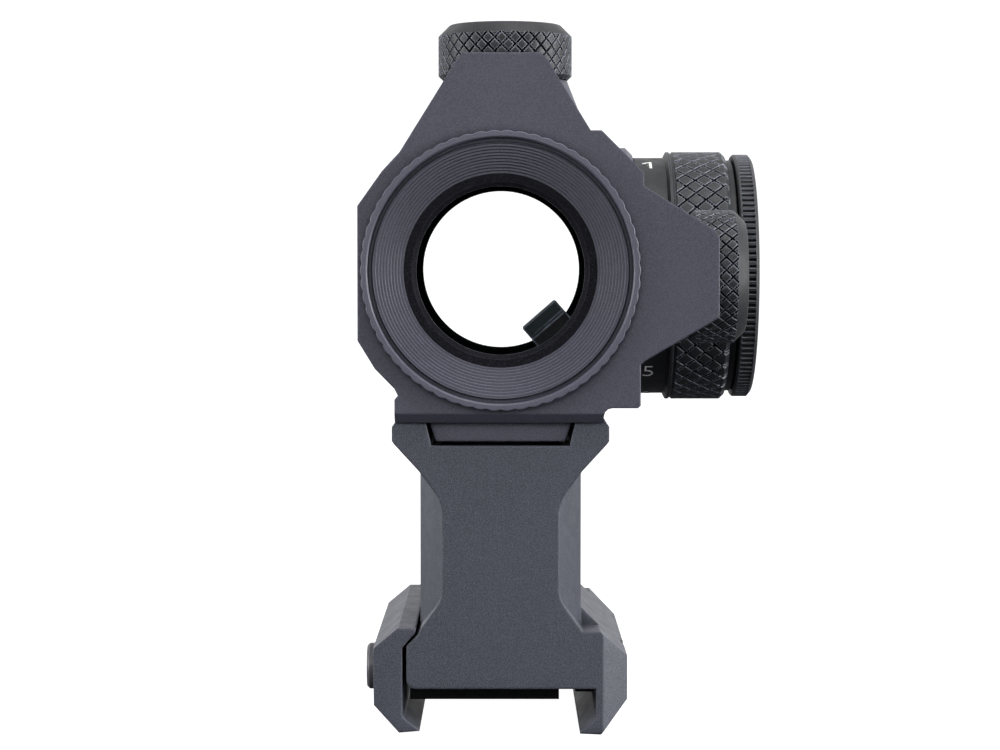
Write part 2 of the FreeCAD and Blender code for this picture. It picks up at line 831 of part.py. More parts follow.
def emitter_parts():
    half = "emitter_width / 2"
    low_part = radial_block("emitter_foot", "emitter_top + emitter_step", "inner_bore + spare", half,
                            "emitter_rear_y", "emitter_front_y")
    high_part = radial_block("emitter_head", "emitter_top", "inner_bore", half,
                             "emitter_step_y", "emitter_front_y")
    room = cylinder("emitter_room", "bore", "inner_bore", "emitter_rear_y - spare", "emitter_front_y + spare")
    lump = joined("emitter_lump", [low_part, high_part])
    node(common("emitter_block", [lump, room]), "emitter_block")
    chip = radial_block("led_chip", "emitter_top + soft_break", "emitter_top + soft_break + chip_size",
                        "chip_size / 2", "emitter_front_y", "emitter_front_y + chip_thick")
    return node(chip, "led_chip")


def return_spring():
    """Compression spring, square to the bore, between the inner tube and its plug."""
    wire = value("spring_wire")
    low = value("spring_low") + wire / 2
    high = value("spring_high") - wire / 2
    radius = value("spring_radius")
    pitch = (high - low) / value("spring_turns")
    helix = Part.makeHelix(pitch, high - low, radius)
    section = Part.Wire(Part.makeCircle(wire / 2, FreeCAD.Vector(radius, 0, 0), FreeCAD.Vector(0, 1, 0)))
    shape = Part.Wire(helix).makePipeShell([section], True, True)
    shape.translate(FreeCAD.Vector(0, 0, wire / 2))
    spring = doc.addObject("Part::Feature", "return_spring")
    spring.Shape = shape
    spring_axis(spring, "spring_low")
    node(spring, "return_spring")
    plug = spring_cylinder("plug_blank", "plug_radius", "spring_high", "plug_high")
    slot = doc.addObject("Part::Box", "plug_slot")
    drive(slot, "Length", "3 * plug_radius")
    drive(slot, "Width", "slot_width")
    drive(slot, "Height", "slot_depth")
    angle = math.radians(value("spring_angle"))
    outward = FreeCAD.Vector(math.cos(angle), 0, math.sin(angle))
    turn = FreeCAD.Rotation(FreeCAD.Vector(0, 0, 1), outward)
    centre = FreeCAD.Vector(0, value("turret_y"), value("bore_height"))
    centre += outward * (value("plug_high") - value("slot_depth"))
    corner = FreeCAD.Vector(-1.5 * value("plug_radius"), -value("slot_width") / 2, 0)
    slot.Placement = FreeCAD.Placement(centre + turn.multVec(corner), turn)
    return node(cut("spring_plug", plug, [slot]), "spring_plug")


# ---- turrets: the same pieces on both axes ----
def turret(place):
    cap = turned(place + "_cap", [
        ("0", "cap_ceiling"),
        ("neck_radius + running_gap", "cap_ceiling"),
        ("neck_radius + running_gap", "cap_low + seal_room"),
        ("neck_radius + seal_width + play", "cap_low + seal_room"),
        ("neck_radius + seal_width + play", "cap_low"),
        ("cap_radius - cap_lead", "cap_low"),
        ("cap_radius", "cap_low + cap_lead"),
        ("cap_radius", "cap_top - cap_chamfer"),
        ("cap_radius - cap_chamfer", "cap_top"),
        ("0", "cap_top"),
    ], place)
    node(cap, place + "_cap")
    seal = ring(place + "_cap_seal", place, "neck_radius + running_gap",
                "neck_radius + seal_width + running_gap", "cap_low + play", "cap_low + ledge")
    node(seal, place + "_cap_seal")
    bush = turned(place + "_bush", [
        ("plunger_radius + running_gap", "bush_low"),
        ("bush_shank", "bush_low"),
        ("bush_shank", "boss_top"),
        ("neck_radius", "boss_top"),
        ("neck_radius", "neck_top - fine_break"),
        ("neck_radius - fine_break", "neck_top"),
        ("chamber_radius", "neck_top"),
        ("chamber_radius", "chamber_floor"),
        ("adjuster_shaft + running_gap", "chamber_floor"),
        ("adjuster_shaft + running_gap", "plunger_top + ledge"),
        ("plunger_radius + running_gap", "plunger_top + ledge"),
    ], place)
    node(bush, place + "_bush")
    screw = turned(place + "_adjuster_blank", [
        ("0", "adjuster_tip"),
        ("adjuster_shaft", "adjuster_tip"),
        ("adjuster_shaft", "chamber_floor + running_gap"),
        ("adjuster_radius", "chamber_floor + running_gap"),
        ("adjuster_radius", "adjuster_top - fine_break"),
        ("adjuster_radius - fine_break", "adjuster_top"),
        ("0", "adjuster_top"),
    ], place)
    slot = block(place + "_adjuster_slot", place, ("-slot_width / 2", "slot_width / 2"),
                 ("-adjuster_radius - spare", "adjuster_radius + spare"),
                 ("adjuster_top - slot_depth", "adjuster_top + spare"))
    node(cut(place + "_adjuster", screw, [slot]), place + "_adjuster")
    tip = "inner_radius + running_gap"
    pin = turned(place + "_plunger", [
        ("0", tip),
        ("plunger_tip_radius - tip_break", tip),
        ("plunger_tip_radius", tip + " + fine_break"),
        ("plunger_tip_radius", "bush_low"),
        ("plunger_radius", "bush_low + tip_break"),
        ("plunger_radius", "plunger_top"),
        ("adjuster_shaft + running_gap", "plunger_top"),
        ("adjuster_shaft + running_gap", "adjuster_tip - ledge"),
        ("0", "adjuster_tip - ledge"),
    ], place)
    return node(pin, place + "_plunger")


# ---- brightness dial and battery ----
def brightness_dial():
    grip = turned("dial_blank", [
        ("post_radius + running_gap", "web_low"),
        ("web_ring_outer", "web_low"),
        ("web_ring_outer", "dial_low"),
        ("collar_dial_radius", "dial_low"),
        ("collar_dial_radius", "collar_top"),
        ("grip_radius - grip_chamfer", "grip_low"),
        ("grip_radius", "grip_low + grip_chamfer"),
        ("grip_radius", "grip_top - grip_chamfer"),
        ("grip_radius - grip_chamfer", "grip_top"),
        ("dial_rim_radius", "grip_top"),
        ("dial_rim_radius", "dial_rim_top"),
        ("plug_bore", "dial_rim_top"),
        ("plug_bore", "plug_shelf"),
        ("battery_pocket", "plug_shelf"),
        ("battery_pocket", "battery_shelf"),
        ("retainer_recess", "battery_shelf"),
        ("retainer_recess", "web_top"),
        ("post_radius + running_gap", "web_top"),
    ], "dial")
    groove = ring("detent_groove", "dial", "detent_circle - detent_groove_half",
                  "detent_circle + detent_groove_half", "dial_low - spare", "dial_low + detent_groove")
    dimples = []
    for index in range(int(value("detent_count"))):
        angle = "%d * 360 deg / detent_count" % index
        dimples.append(sphere("dimple_%d" % index, "dial", "detent_ball",
                              "dial_low + detent_groove + dimple_depth - detent_ball",
                              "-detent_circle * cos(%s)" % angle, "detent_circle * sin(%s)" % angle))
    return node(cut("brightness_dial", grip, [groove] + dimples), "brightness_dial")


def dial_fittings():
    node(ring("dial_seal", "dial", "seal_groove_inner", "seal_groove_outer",
              "dial_boss_face - seal_groove_depth", "dial_low - running_gap"), "dial_seal")
    blank = turned("dial_screw_blank", [
        ("0", "post_thread_floor + edge_break"),
        ("post_thread", "post_thread_floor + edge_break"),
        ("post_thread", "post_top"),
        ("retainer_radius", "post_top"),
        ("retainer_radius", "retainer_top - light_break"),
        ("retainer_radius - light_break", "retainer_top"),
        ("0", "retainer_top"),
    ], "dial")
    clear = ring("dial_screw_clearance", "dial", "post_radius", "retainer_radius + spare",
                 "post_top - spare", "retainer_low")
    cross = [block("dial_screw_slot_%s" % tag, "dial", side, across,
                   ("retainer_top - soft_break", "retainer_top + spare"))
             for tag, side, across in (
                 ("long", ("-cross_reach", "cross_reach"), ("-slot_width / 2", "slot_width / 2")),
                 ("wide", ("-slot_width / 2", "slot_width / 2"), ("-cross_reach", "cross_reach")))]
    node(cut("dial_screw", blank, [clear] + cross), "dial_screw")
    top = "dial_low + detent_groove - hairline"
    node(sphere("detent_ball", "dial", "detent_ball", top + " - detent_ball", "-detent_circle"),
         "detent_ball")
    wire = value("detent_wire")
    low = value("detent_hole_floor") + wire / 2
    high = value(top) - 2 * value("detent_ball") - wire / 2 - value("hairline")
    radius = value("detent_ball") - wire / 2 - value("running_gap")
    helix = Part.makeHelix((high - low) / value("detent_turns"), high - low, radius)
    section = Part.Wire(Part.makeCircle(wire / 2, FreeCAD.Vector(radius, 0, 0), FreeCAD.Vector(0, 1, 0)))
    spring = doc.addObject("Part::Feature", "detent_spring")
    spring.Shape = Part.Wire(helix).makePipeShell([section], True, True)
    put(spring, "dial", "-detent_circle", "0", "detent_hole_floor + detent_wire / 2")
    node(spring, "detent_spring")
    return switch_parts()


def switch_parts():
    plate = ring("board_plate", "dial", "board_inner", "board_outer", "board_low",
                 "board_low + board_thick")
    pads = []
    for index in range(int(value("detent_count"))):
        angle = "%d * 360 deg / detent_count" % index
        pads.append(cylinder("pad_%d" % index, "dial", "pad_radius", "board_low + board_thick / 2",
                             "board_low + board_thick + pad_thick",
                             "-pad_circle * cos(%s)" % angle, "pad_circle * sin(%s)" % angle))
    node(joined("switch_board", [plate] + pads), "switch_board")
    foot = block("wiper_foot", "dial", ("-pad_circle - wiper_width", "-pad_circle + 1.5 * wiper_width"),
                 ("-wiper_width / 2", "wiper_width / 2"), ("web_low - wiper_thick", "web_low"))
    blade = block("wiper_blade", "dial", ("-pad_circle - light_break", "-pad_circle + light_break"),
                  ("-wiper_width / 2", "wiper_width / 2"),
                  ("board_low + board_thick + pad_thick + running_gap", "web_low - wiper_thick"))
    return node(joined("switch_wiper", [foot, blade]), "switch_wiper")


def battery_parts():
    contact = ring("contact_ring", "dial", "contact_inner", "battery_pocket - play", "battery_shelf",
                   "battery_shelf + contact_thick")
    fingers = []
    for index in range(int(value("contact_fingers"))):
        angle = "%d * 360 deg / contact_fingers" % index
        finger = cylinder("contact_finger_%d" % index, "dial", "contact_finger",
                          "battery_shelf + contact_thick / 2", "battery_low",
                          "(contact_inner + contact_finger) * cos(%s)" % angle,
                          "(contact_inner + contact_finger) * sin(%s)" % angle)
        fingers.append(finger)
    node(joined("battery_contact", [contact] + fingers), "battery_contact")
    cell = turned("battery_cell", [
        ("0", "battery_low"),
        ("battery_can_inner - edge_break", "battery_low"),
        ("battery_can_inner - light_break", "battery_low + play"),
        ("battery_can_inner - light_break", "battery_low + battery_step"),
        ("battery_radius - soft_break", "battery_low + battery_step"),
        ("battery_radius", "battery_low + battery_step + soft_break"),
        ("battery_radius", "battery_low + battery_thick - fine_break"),
        ("battery_radius - fine_break", "battery_low + battery_thick"),
        ("0", "battery_low + battery_thick"),
    ], "dial")
    node(cell, "battery")
    blank = turned("battery_cap_blank", [
        ("0", "battery_plug_low"),
        ("battery_plug_radius", "battery_plug_low"),
        ("battery_plug_radius", "battery_seal_low"),
        ("battery_seal_inner", "battery_seal_low"),
        ("battery_seal_inner", "battery_seal_low + seal_width + play"),
        ("battery_plug_radius", "battery_seal_low + seal_width + play"),
        ("battery_plug_radius", "battery_cap_low"),
        ("battery_cap_radius - light_break", "battery_cap_low"),
        ("battery_cap_radius", "battery_cap_low + light_break"),
        ("battery_cap_radius", "battery_cap_top - battery_cap_chamfer"),
        ("battery_cap_radius - battery_cap_chamfer", "battery_cap_top"),
        ("0", "battery_cap_top"),
    ], "dial")
    slot = block("coin_slot", "dial", ("-coin_slot_length / 2", "coin_slot_length / 2"),
                 ("-coin_slot_width / 2", "coin_slot_width / 2"),
                 ("battery_cap_top - coin_slot_depth", "battery_cap_top + spare"))
    node(cut("battery_cap", blank, [slot]), "battery_cap")
    return node(ring("battery_cap_seal", "dial", "battery_seal_inner + running_gap",
                     "battery_plug_radius", "battery_seal_low + running_gap",
                     "battery_seal_low + running_gap + seal_width"), "battery_cap_seal")


# ---- mount ----
def riser_outline():
    """Section of the riser seen from the rear, with the fixed right jaw."""
    return [
        ("-recess_half_low", "recess_floor"),
        ("recess_half_low", "recess_floor"),
        ("recess_half_top", "riser_top"),
        ("ear_half - ear_round", "riser_top"),
        ("ear_half", "riser_top - ear_round"),
        ("ear_half", "ear_low + ear_round / 2"),
        ("ear_half - ear_round / 2", "ear_low - ear_round / 4"),
        ("neck_half", "neck_z"),
        ("neck_half", "foot_top + saddle"),
        ("jaw_shoulder", "foot_top - play"),
        ("jaw_outer", "jaw_side_top"),
        ("jaw_outer", "jaw_side_low"),
        ("jaw_under", "jaw_low"),
        ("jaw_tip", "jaw_low + play"),
        ("wall_right", "jaw_lip"),
        ("wall_right", "0"),
        ("-foot_left + foot_round", "0"),
        ("-foot_left + foot_round * (1 - sin(30 deg))", "foot_round * (1 - cos(30 deg))"),
        ("-foot_left + foot_round * (1 - sin(60 deg))", "foot_round * (1 - cos(60 deg))"),
        ("-foot_left", "foot_round"),
        ("-foot_left", "foot_top - foot_bevel"),
        ("-foot_left + foot_bevel", "foot_top"),
        ("-neck_half", "foot_top + fine_break"),
        ("-neck_half", "neck_z"),
        ("-ear_half + ear_round / 2", "ear_low - ear_round / 4"),
        ("-ear_half", "ear_low + ear_round / 2"),
        ("-ear_half", "riser_top - ear_round"),
        ("-ear_half + ear_round", "riser_top"),
        ("-recess_half_top", "riser_top"),
    ]


def round_edges(body, radius, side):
    """Round a body's edges that run along Y at the given X."""
    doc.recompute()
    names = []
    for number, edge in enumerate(body.Shape.Edges, start=1):
        first, last = edge.Vertexes[0].Point, edge.Vertexes[-1].Point
        along = abs(first.x - last.x) < 1e-6 and abs(first.z - last.z) < 1e-6
        if along and abs(first.x - side) < 1e-6:
            names.append("Edge%d" % number)
    fillet = body.newObject("PartDesign::Fillet", body.Name + "_round")
    fillet.Base = (body.Group[-2], names)
    drive(fillet, "Radius", radius)
    return body


def corner_scallop(name, sign, end):
    """Slanted relief at one upright corner: a front view and a plan view in common."""
    side = "%d * " % sign
    front_view = extruded(name + "_front", [
        (side + "(neck_half + hairline)", "neck_z + hairline"),
        (side + "waist_half", "waist_top"),
        (side + "waist_half", "waist_low"),
        (side + "(neck_half + hairline)", "foot_top + edge_break"),
        (side + "(neck_half + saddle)", "foot_top + edge_break"),
        (side + "(neck_half + saddle)", "neck_z + hairline"),
    ], "-mount_half_length - spare", "mount_half_length + spare")
    round_edges(front_view, "waist_round", sign * value("waist_half"))
    body = doc.addObject("PartDesign::Body", name + "_plan")
    near = "%d * mount_half_length" % end
    deep = "%d * (mount_half_length - waist_depth)" % end
    outside = "%d * (mount_half_length + spare)" % end
    sketch = outline(body, name + "_plan_section", "XY_Plane", [
        (side + "waist_half", outside),
        (side + "waist_half", near),
        (side + "(neck_half + hairline)", deep),
        (side + "(neck_half + saddle)", deep),
        (side + "(neck_half + saddle)", outside),
    ])
    pad = body.newObject("PartDesign::Pad", name + "_plan_pad")
    pad.Profile = sketch
    drive(pad, "Length", "riser_top")
    put(body, "upright")
    return common(name, [front_view, body])


def jaw_relief(name, end):
    """Bevel at one end of the fixed jaw's outer side."""
    body = doc.addObject("PartDesign::Body", name)
    near = "%d * mount_half_length" % end
    outside = "%d * (mount_half_length + spare)" % end
    sketch = outline(body, name + "_section", "XY_Plane", [
        ("jaw_shoulder - light_break", outside),
        ("jaw_shoulder - light_break", near),
        ("jaw_outer + hairline", "%d * (mount_half_length - jaw_rear_relief)" % end),
        ("jaw_outer + spare", "%d * (mount_half_length - jaw_rear_relief)" % end),
        ("jaw_outer + spare", outside),
    ])
    pad = body.newObject("PartDesign::Pad", name + "_pad")
    pad.Profile = sketch
    drive(pad, "Length", "foot_top - jaw_low + 2 * spare")
    return put(body, "upright", "0", "0", "jaw_low - spare")


def riser():
    blank = extruded("riser_blank", riser_outline(), "-mount_half_length", "mount_half_length")
    tools = [corner_scallop("scallop_%s_%s" % (side, end), sign, way)
             for side, sign in (("left", -1), ("right", 1))
             for end, way in (("rear", -1), ("front", 1))]
    tools += [jaw_relief("jaw_relief_" + end, way) for end, way in (("rear", -1), ("front", 1))]
    tools.append(block("lug_slot", "upright", ("-foot_left - spare", "lug_right"),
                       ("screw_y - lug_width / 2", "screw_y + lug_width / 2"), ("-spare", "lug_high")))
    tools.append(block("key_slot", "upright", ("-foot_left - spare", "-key_tip + fine_break"),
                       ("key_y - key_width / 2 - key_gap", "key_y + key_width / 2 + key_gap"),
                       ("key_low - key_gap", "key_high + key_gap")))
    tools.append(cylinder("screw_passage", "clamp", "screw_radius + thin_gap",
                          "-foot_left - spare", "jaw_outer + spare"))
    tools.append(cylinder("insert_hole", "clamp", "insert_radius", "insert_in", "jaw_outer + spare"))
    for number, (side, across) in enumerate(base_screw_spots()):
        tools.append(cylinder("head_bore_%d" % number, "upright", "base_screw_head + base_hole_gap",
                              "-spare", "base_screw_seat", side, across))
        tools.append(cylinder("shank_bore_%d" % number, "upright",
                              "base_screw_radius + base_hole_gap", "base_screw_seat - spare",
                              "riser_top", side, across))
    return node(cut("riser", blank, tools), "riser")


def base_screws():
    """Four socket screws that hold the sight to the riser, as one node."""
    screws = []
    for number, (side, across) in enumerate(base_screw_spots()):
        low = "base_screw_seat - base_screw_head_high"
        head = cylinder("base_head_%d" % number, "upright", "base_screw_head", low,
                        "base_screw_seat", side, across)
        shank = cylinder("base_shank_%d" % number, "upright", "base_screw_radius",
                         "base_screw_seat - soft_break", "base_screw_tip", side, across)
        socket = hexagon("base_socket_%d" % number, "upright", "socket_radius", low + " - spare",
                         low + " + socket_depth", side, across)
        screws.append(cut("base_screw_%d" % number, joined("base_pin_%d" % number, [head, shank]),
                          [socket]))
    group = doc.addObject("Part::Compound", "base_screws")
    group.Links = screws
    return node(group, "base_screws")


def clamp_jaw():
    blank = extruded("clamp_blank", [
        ("-clamp_lip_x", "clamp_top"),
        ("-clamp_crown_x", "clamp_top"),
        ("-jaw_outer", "clamp_side_top"),
        ("-jaw_outer + play", "clamp_side_low"),
        ("-clamp_under", "clamp_low"),
        ("-clamp_tip", "clamp_tip_z"),
        ("-clamp_inner + light_break", "clamp_lip"),
        ("-clamp_inner", "clamp_lip + soft_break"),
        ("-clamp_inner", "clamp_gap_z"),
        ("-clamp_notch_x", "clamp_notch_z"),
    ], "-mount_half_length", "mount_half_length")
    key = block("clamp_key", "upright", ("-clamp_inner - soft_break", "-key_tip"),
                ("key_y - key_width / 2", "key_y + key_width / 2"), ("key_low", "key_high"))
    tools = [
        cylinder("clamp_passage", "clamp", "screw_radius + thin_gap", "-jaw_outer - spare", "0"),
        cylinder("clamp_counterbore", "clamp", "screw_head_radius + thin_gap", "-jaw_outer - spare",
                 "-screw_head_in"),
    ]
    return node(cut("clamp_jaw", joined("clamp_solid", [blank, key]), tools), "clamp_jaw")


def clamp_screw_parts():
    shaft = turned("clamp_screw_blank", [
        ("0", "-screw_head_out"),
        ("screw_head_radius - fine_break", "-screw_head_out"),
        ("screw_head_radius", "-screw_head_out + fine_break"),
        ("screw_head_radius", "-screw_head_in - hairline"),
        ("screw_radius", "-screw_head_in - hairline"),
        ("screw_radius", "screw_tip - edge_break"),
        ("screw_radius - edge_break", "screw_tip"),
        ("0", "screw_tip"),
    ], "clamp")
    socket = hexagon("clamp_socket", "clamp", "socket_radius", "-screw_head_out - spare",
                     "-screw_head_out + socket_depth")
    node(cut("clamp_screw", shaft, [socket]), "clamp_screw")
    thread = ring("clamp_insert", "clamp", "screw_radius + running_gap", "insert_radius",
                  "insert_in", "insert_out")
    node(thread, "clamp_insert")
    bar = block("lug_blank", "upright", ("-lug_left", "lug_right"),
                ("screw_y - lug_width / 2", "screw_y + lug_width / 2"), ("lug_low", "lug_high"))
    hole = cylinder("lug_hole", "clamp", "screw_radius + thin_gap", "-lug_left - spare", "lug_right + spare")
    return node(cut("recoil_lug", bar, [hole]), "recoil_lug")


housing()
rear_bezel()
ocular_parts()
inner_tube()
pivot_ring()
objective_parts()
emitter_parts()
return_spring()
turret("elevation")
turret("windage")
brightness_dial()
dial_fittings()
battery_parts()
riser()
base_screws()
clamp_jaw()
clamp_screw_parts()

doc.recompute()

for item in doc.Objects:
    bad = [flag for flag in item.State if flag in ("Invalid", "Error")]
    if bad:
        raise RuntimeError("%s: %s" % (item.Name, bad))

os.makedirs("parts", exist_ok=True)
for item in NODES:
    if item.Shape.isNull() or not item.Shape.isValid() or not item.Shape.Solids:
        raise RuntimeError("bad shape: " + item.Label)
    item.Shape.exportStep(os.path.join("parts", item.Label + ".step"))
    box = item.Shape.BoundBox
    print("%-20s solids %d volume %8.1f  x %6.2f %6.2f  y %6.2f %6.2f  z %6.2f %6.2f" % (
        item.Label, len(item.Shape.Solids), item.Shape.Volume,
        box.XMin, box.XMax, box.YMin, box.YMax, box.ZMin, box.ZMax))
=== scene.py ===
import json
import math

import bmesh
import bpy
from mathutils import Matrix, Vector


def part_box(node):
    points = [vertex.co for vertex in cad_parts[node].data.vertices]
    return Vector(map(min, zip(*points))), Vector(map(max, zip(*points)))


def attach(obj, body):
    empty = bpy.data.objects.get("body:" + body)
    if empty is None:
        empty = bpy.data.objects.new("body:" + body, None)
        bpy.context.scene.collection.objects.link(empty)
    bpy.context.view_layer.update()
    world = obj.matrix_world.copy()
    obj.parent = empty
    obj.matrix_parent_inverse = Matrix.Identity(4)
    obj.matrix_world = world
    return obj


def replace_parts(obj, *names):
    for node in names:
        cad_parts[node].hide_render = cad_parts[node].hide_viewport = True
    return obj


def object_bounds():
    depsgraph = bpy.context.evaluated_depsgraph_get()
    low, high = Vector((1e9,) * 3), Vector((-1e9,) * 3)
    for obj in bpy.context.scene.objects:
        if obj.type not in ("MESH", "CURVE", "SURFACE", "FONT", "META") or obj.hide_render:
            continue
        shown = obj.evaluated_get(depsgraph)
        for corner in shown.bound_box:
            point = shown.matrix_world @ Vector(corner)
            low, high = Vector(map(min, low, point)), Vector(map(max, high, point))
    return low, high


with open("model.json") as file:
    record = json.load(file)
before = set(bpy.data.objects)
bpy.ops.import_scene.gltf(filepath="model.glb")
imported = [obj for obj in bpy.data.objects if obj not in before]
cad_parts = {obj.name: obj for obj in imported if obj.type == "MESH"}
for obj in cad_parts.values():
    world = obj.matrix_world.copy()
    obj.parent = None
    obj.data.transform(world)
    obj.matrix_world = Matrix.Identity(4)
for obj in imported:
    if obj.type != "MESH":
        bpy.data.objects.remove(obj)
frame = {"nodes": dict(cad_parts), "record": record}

# A tubed red dot sight on a tall riser, seen from behind the eyepiece.
# Most of the frame's CAD pieces keep their shapes. The knurled, serrated and scalloped
# pieces, and the ones with rounded edges, are built here as finished meshes in the
# places their CAD nodes hold. The dial's painted numerals are added.

cad_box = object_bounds()
nodes = frame["nodes"]
MM = 0.001
TURN = 2 * math.pi
WELD = 0.0005 * MM


# ---- node materials ----
class Tree:
    """Short calls for building one material's nodes."""

    def __init__(self, name):
        self.material = bpy.data.materials.new(name)
        self.material.use_nodes = True
        self.nodes = self.material.node_tree.nodes
        self.links = self.material.node_tree.links
        self.nodes.clear()
        self.output = self.nodes.new("ShaderNodeOutputMaterial")

    def add(self, kind, values=None, **settings):
        made = self.nodes.new(kind)
        for key, setting in settings.items():
            setattr(made, key, setting)
        for key, given in (values or {}).items():
            if isinstance(given, bpy.types.NodeSocket):
                self.links.new(given, made.inputs[key])
            else:
                made.inputs[key].default_value = given
        return made

    def math(self, operation, first, second=0.0, clamp=False):
        made = self.add("ShaderNodeMath", {0: first, 1: second}, operation=operation, use_clamp=clamp)
        return made.outputs[0]

    def noise(self, size, detail=2.0, stretch=(1, 1, 1)):
        """Noise whose features are about size metres across."""
        place = self.add("ShaderNodeTexCoord").outputs["Object"]
        scaled = self.add("ShaderNodeVectorMath", {0: place, 1: stretch}, operation="MULTIPLY")
        made = self.add("ShaderNodeTexNoise",
                        {"Vector": scaled.outputs[0], "Scale": 1 / size, "Detail": detail})
        return made.outputs[0]

    def remap(self, socket, low, high, to_low=0.0, to_high=1.0):
        made = self.add("ShaderNodeMapRange", {"Value": socket, "From Min": low, "From Max": high,
                                               "To Min": to_low, "To Max": to_high})
        return made.outputs[0]

    def blend(self, share, first, second):
        made = self.add("ShaderNodeMix", data_type="RGBA")
        for index, given in ((0, share), (6, first), (7, second)):
            if isinstance(given, bpy.types.NodeSocket):
                self.links.new(given, made.inputs[index])
            else:
                made.inputs[index].default_value = given
        return made.outputs[2]

    def finish(self, shader):
        self.links.new(shader, self.output.inputs["Surface"])
        return self.material


def shade(colour, factor):
    return tuple(channel * factor for channel in colour) + (1.0,)


CLOUD_SIZE = 9 * MM
SMEAR_SIZE = 1.6 * MM
SHELTER_REACH = 1.3 * MM
CLOUD_TONE = 1.2
SPOT_TONE = 2.6
SPOT_LEVEL = 0.62
SPOT_SIZE_SHARE = 0.9
CORNER_SHADE_TONE = 0.12
GROOVE_SHADE_TONE = 0.1
WORN_GLOSS = -0.12


def coat_tone(tree, colour, fine, grain, contrast, speckle, far_glow):
    """The coat's colour: its own grain, clouds and pale spots, and a far end painted lighter, as light that
    reaches it from the objective end.
    """
    cloud = tree.noise(CLOUD_SIZE, 3.0)
    tone = tree.blend(tree.remap(fine, 0.3, 0.7), shade(colour, 1 - contrast), shade(colour, 1 + contrast))
    tone = tree.blend(tree.remap(cloud, 0.35, 0.65, 0.0, 0.3), tone, shade(colour, CLOUD_TONE))
    if speckle:
        spots = tree.math("GREATER_THAN", tree.noise(grain * SPOT_SIZE_SHARE, 1.0), SPOT_LEVEL)
        tone = tree.blend(tree.math("MULTIPLY", spots, speckle), tone, shade(colour, SPOT_TONE))
    # Painted light: the far end is painted lighter, towards the given colour, as light from the objective
    # end.
    if far_glow:
        near, far, glow = far_glow
        place = tree.add("ShaderNodeTexCoord").outputs["Object"]
        depth_way = tree.add("ShaderNodeSeparateXYZ", {0: place}).outputs["Y"]
        tone = tree.blend(tree.remap(depth_way, near, far), tone, glow + (1.0,))
    return tone


def worn_share(tree, line, open_share, shelter, groove, smear):
    """Where edges are lightened, as rubbed coat and as painted edge highlights: open sharp edges, rounded
    edges and the edges of knurled lands.
    """
    facing = tree.add("ShaderNodeNewGeometry").outputs["Normal"]
    narrow = tree.add("ShaderNodeBevel", {"Radius": line}, samples=4).outputs[0]
    dot = tree.add("ShaderNodeVectorMath", {0: narrow, 1: facing}, operation="DOT_PRODUCT").outputs["Value"]
    sharp = tree.math("MULTIPLY", tree.remap(dot, 0.995, 0.86), tree.remap(open_share, *shelter))
    rounded_edge = tree.add("ShaderNodeAttribute", attribute_name="edge").outputs["Fac"]
    land_edge = tree.math("MULTIPLY", tree.remap(groove, 0.03, 0.09), tree.remap(groove, 0.36, 0.16))
    edges = tree.math("MAXIMUM", tree.math("MAXIMUM", sharp, rounded_edge), land_edge)
    return tree.math("MULTIPLY", edges, tree.remap(smear, 0.3, 0.62, 0.3, 1.0), clamp=True)


def coated(name, colour, rough=0.5, metallic=0.0, grain=0.22 * MM, contrast=0.25, speckle=0.0,
           bump=0.35, depth=0.006 * MM, corner=0.14 * MM, line=0.09 * MM, wear_and_highlight=1.6,
           stretch=(1, 1, 1), specular=0.4, corner_shade=0.5, shelter=(0.55, 0.95), far_glow=None):
    """Coated metal or polymer: grain, clouds, rubbed edges with painted edge highlights, rounded corners,
    painted shade in corners and grooves, and bump.

    far_glow is (near, far, colour): the coat turns to that colour from near to far along Y.
    """
    tree = Tree(name)
    fine = tree.noise(grain, 3.0, stretch)
    smear = tree.noise(SMEAR_SIZE, 2.0)
    tone = coat_tone(tree, colour, fine, grain, contrast, speckle, far_glow)
    open_share = tree.add("ShaderNodeAmbientOcclusion", {"Distance": SHELTER_REACH}, samples=6).outputs["AO"]
    groove = tree.add("ShaderNodeAttribute", attribute_name="groove").outputs["Fac"]
    wear_and_shading_mask = worn_share(tree, line, open_share, shelter, groove, smear)
    # Rubbed edges and painted edge highlights: the coat is lightened along open edges and the edges of
    # knurled lands.
    tone = tree.blend(wear_and_shading_mask, tone, shade(colour, wear_and_highlight))
    # Painted shade: the coat is darkened in corners and recesses where ambient occlusion finds them
    # sheltered.
    tone = tree.blend(tree.remap(open_share, 0.15, 0.85, corner_shade, 0.0), tone, shade(colour, CORNER_SHADE_TONE))
    # Painted shade: the coat is darkened in the grooves of the knurls and serrations.
    tone = tree.blend(tree.remap(groove, 0.3, 0.9, 0.0, 0.85), tone, shade(colour, GROOVE_SHADE_TONE))
    roughness = tree.math("ADD", tree.remap(smear, 0.3, 0.7, rough - 0.06, rough + 0.07),
                          tree.math("MULTIPLY", wear_and_shading_mask, WORN_GLOSS))
    rounded = tree.add("ShaderNodeBevel", {"Radius": corner}, samples=6).outputs[0]
    relief = tree.add("ShaderNodeBump", {"Strength": bump, "Distance": depth, "Height": fine,
                                         "Normal": rounded}).outputs[0]
    # Painted shade on reflections: the specular level is lowered where ambient occlusion finds shelter.
    level = tree.math("MULTIPLY", tree.remap(open_share, 0.1, 0.8, 0.25, 1.0), specular)
    shader = tree.add("ShaderNodeBsdfPrincipled",
                      {"Base Color": tone, "Roughness": roughness, "Metallic": metallic,
                       "Specular IOR Level": level, "Normal": relief})
    return tree.finish(shader.outputs[0])


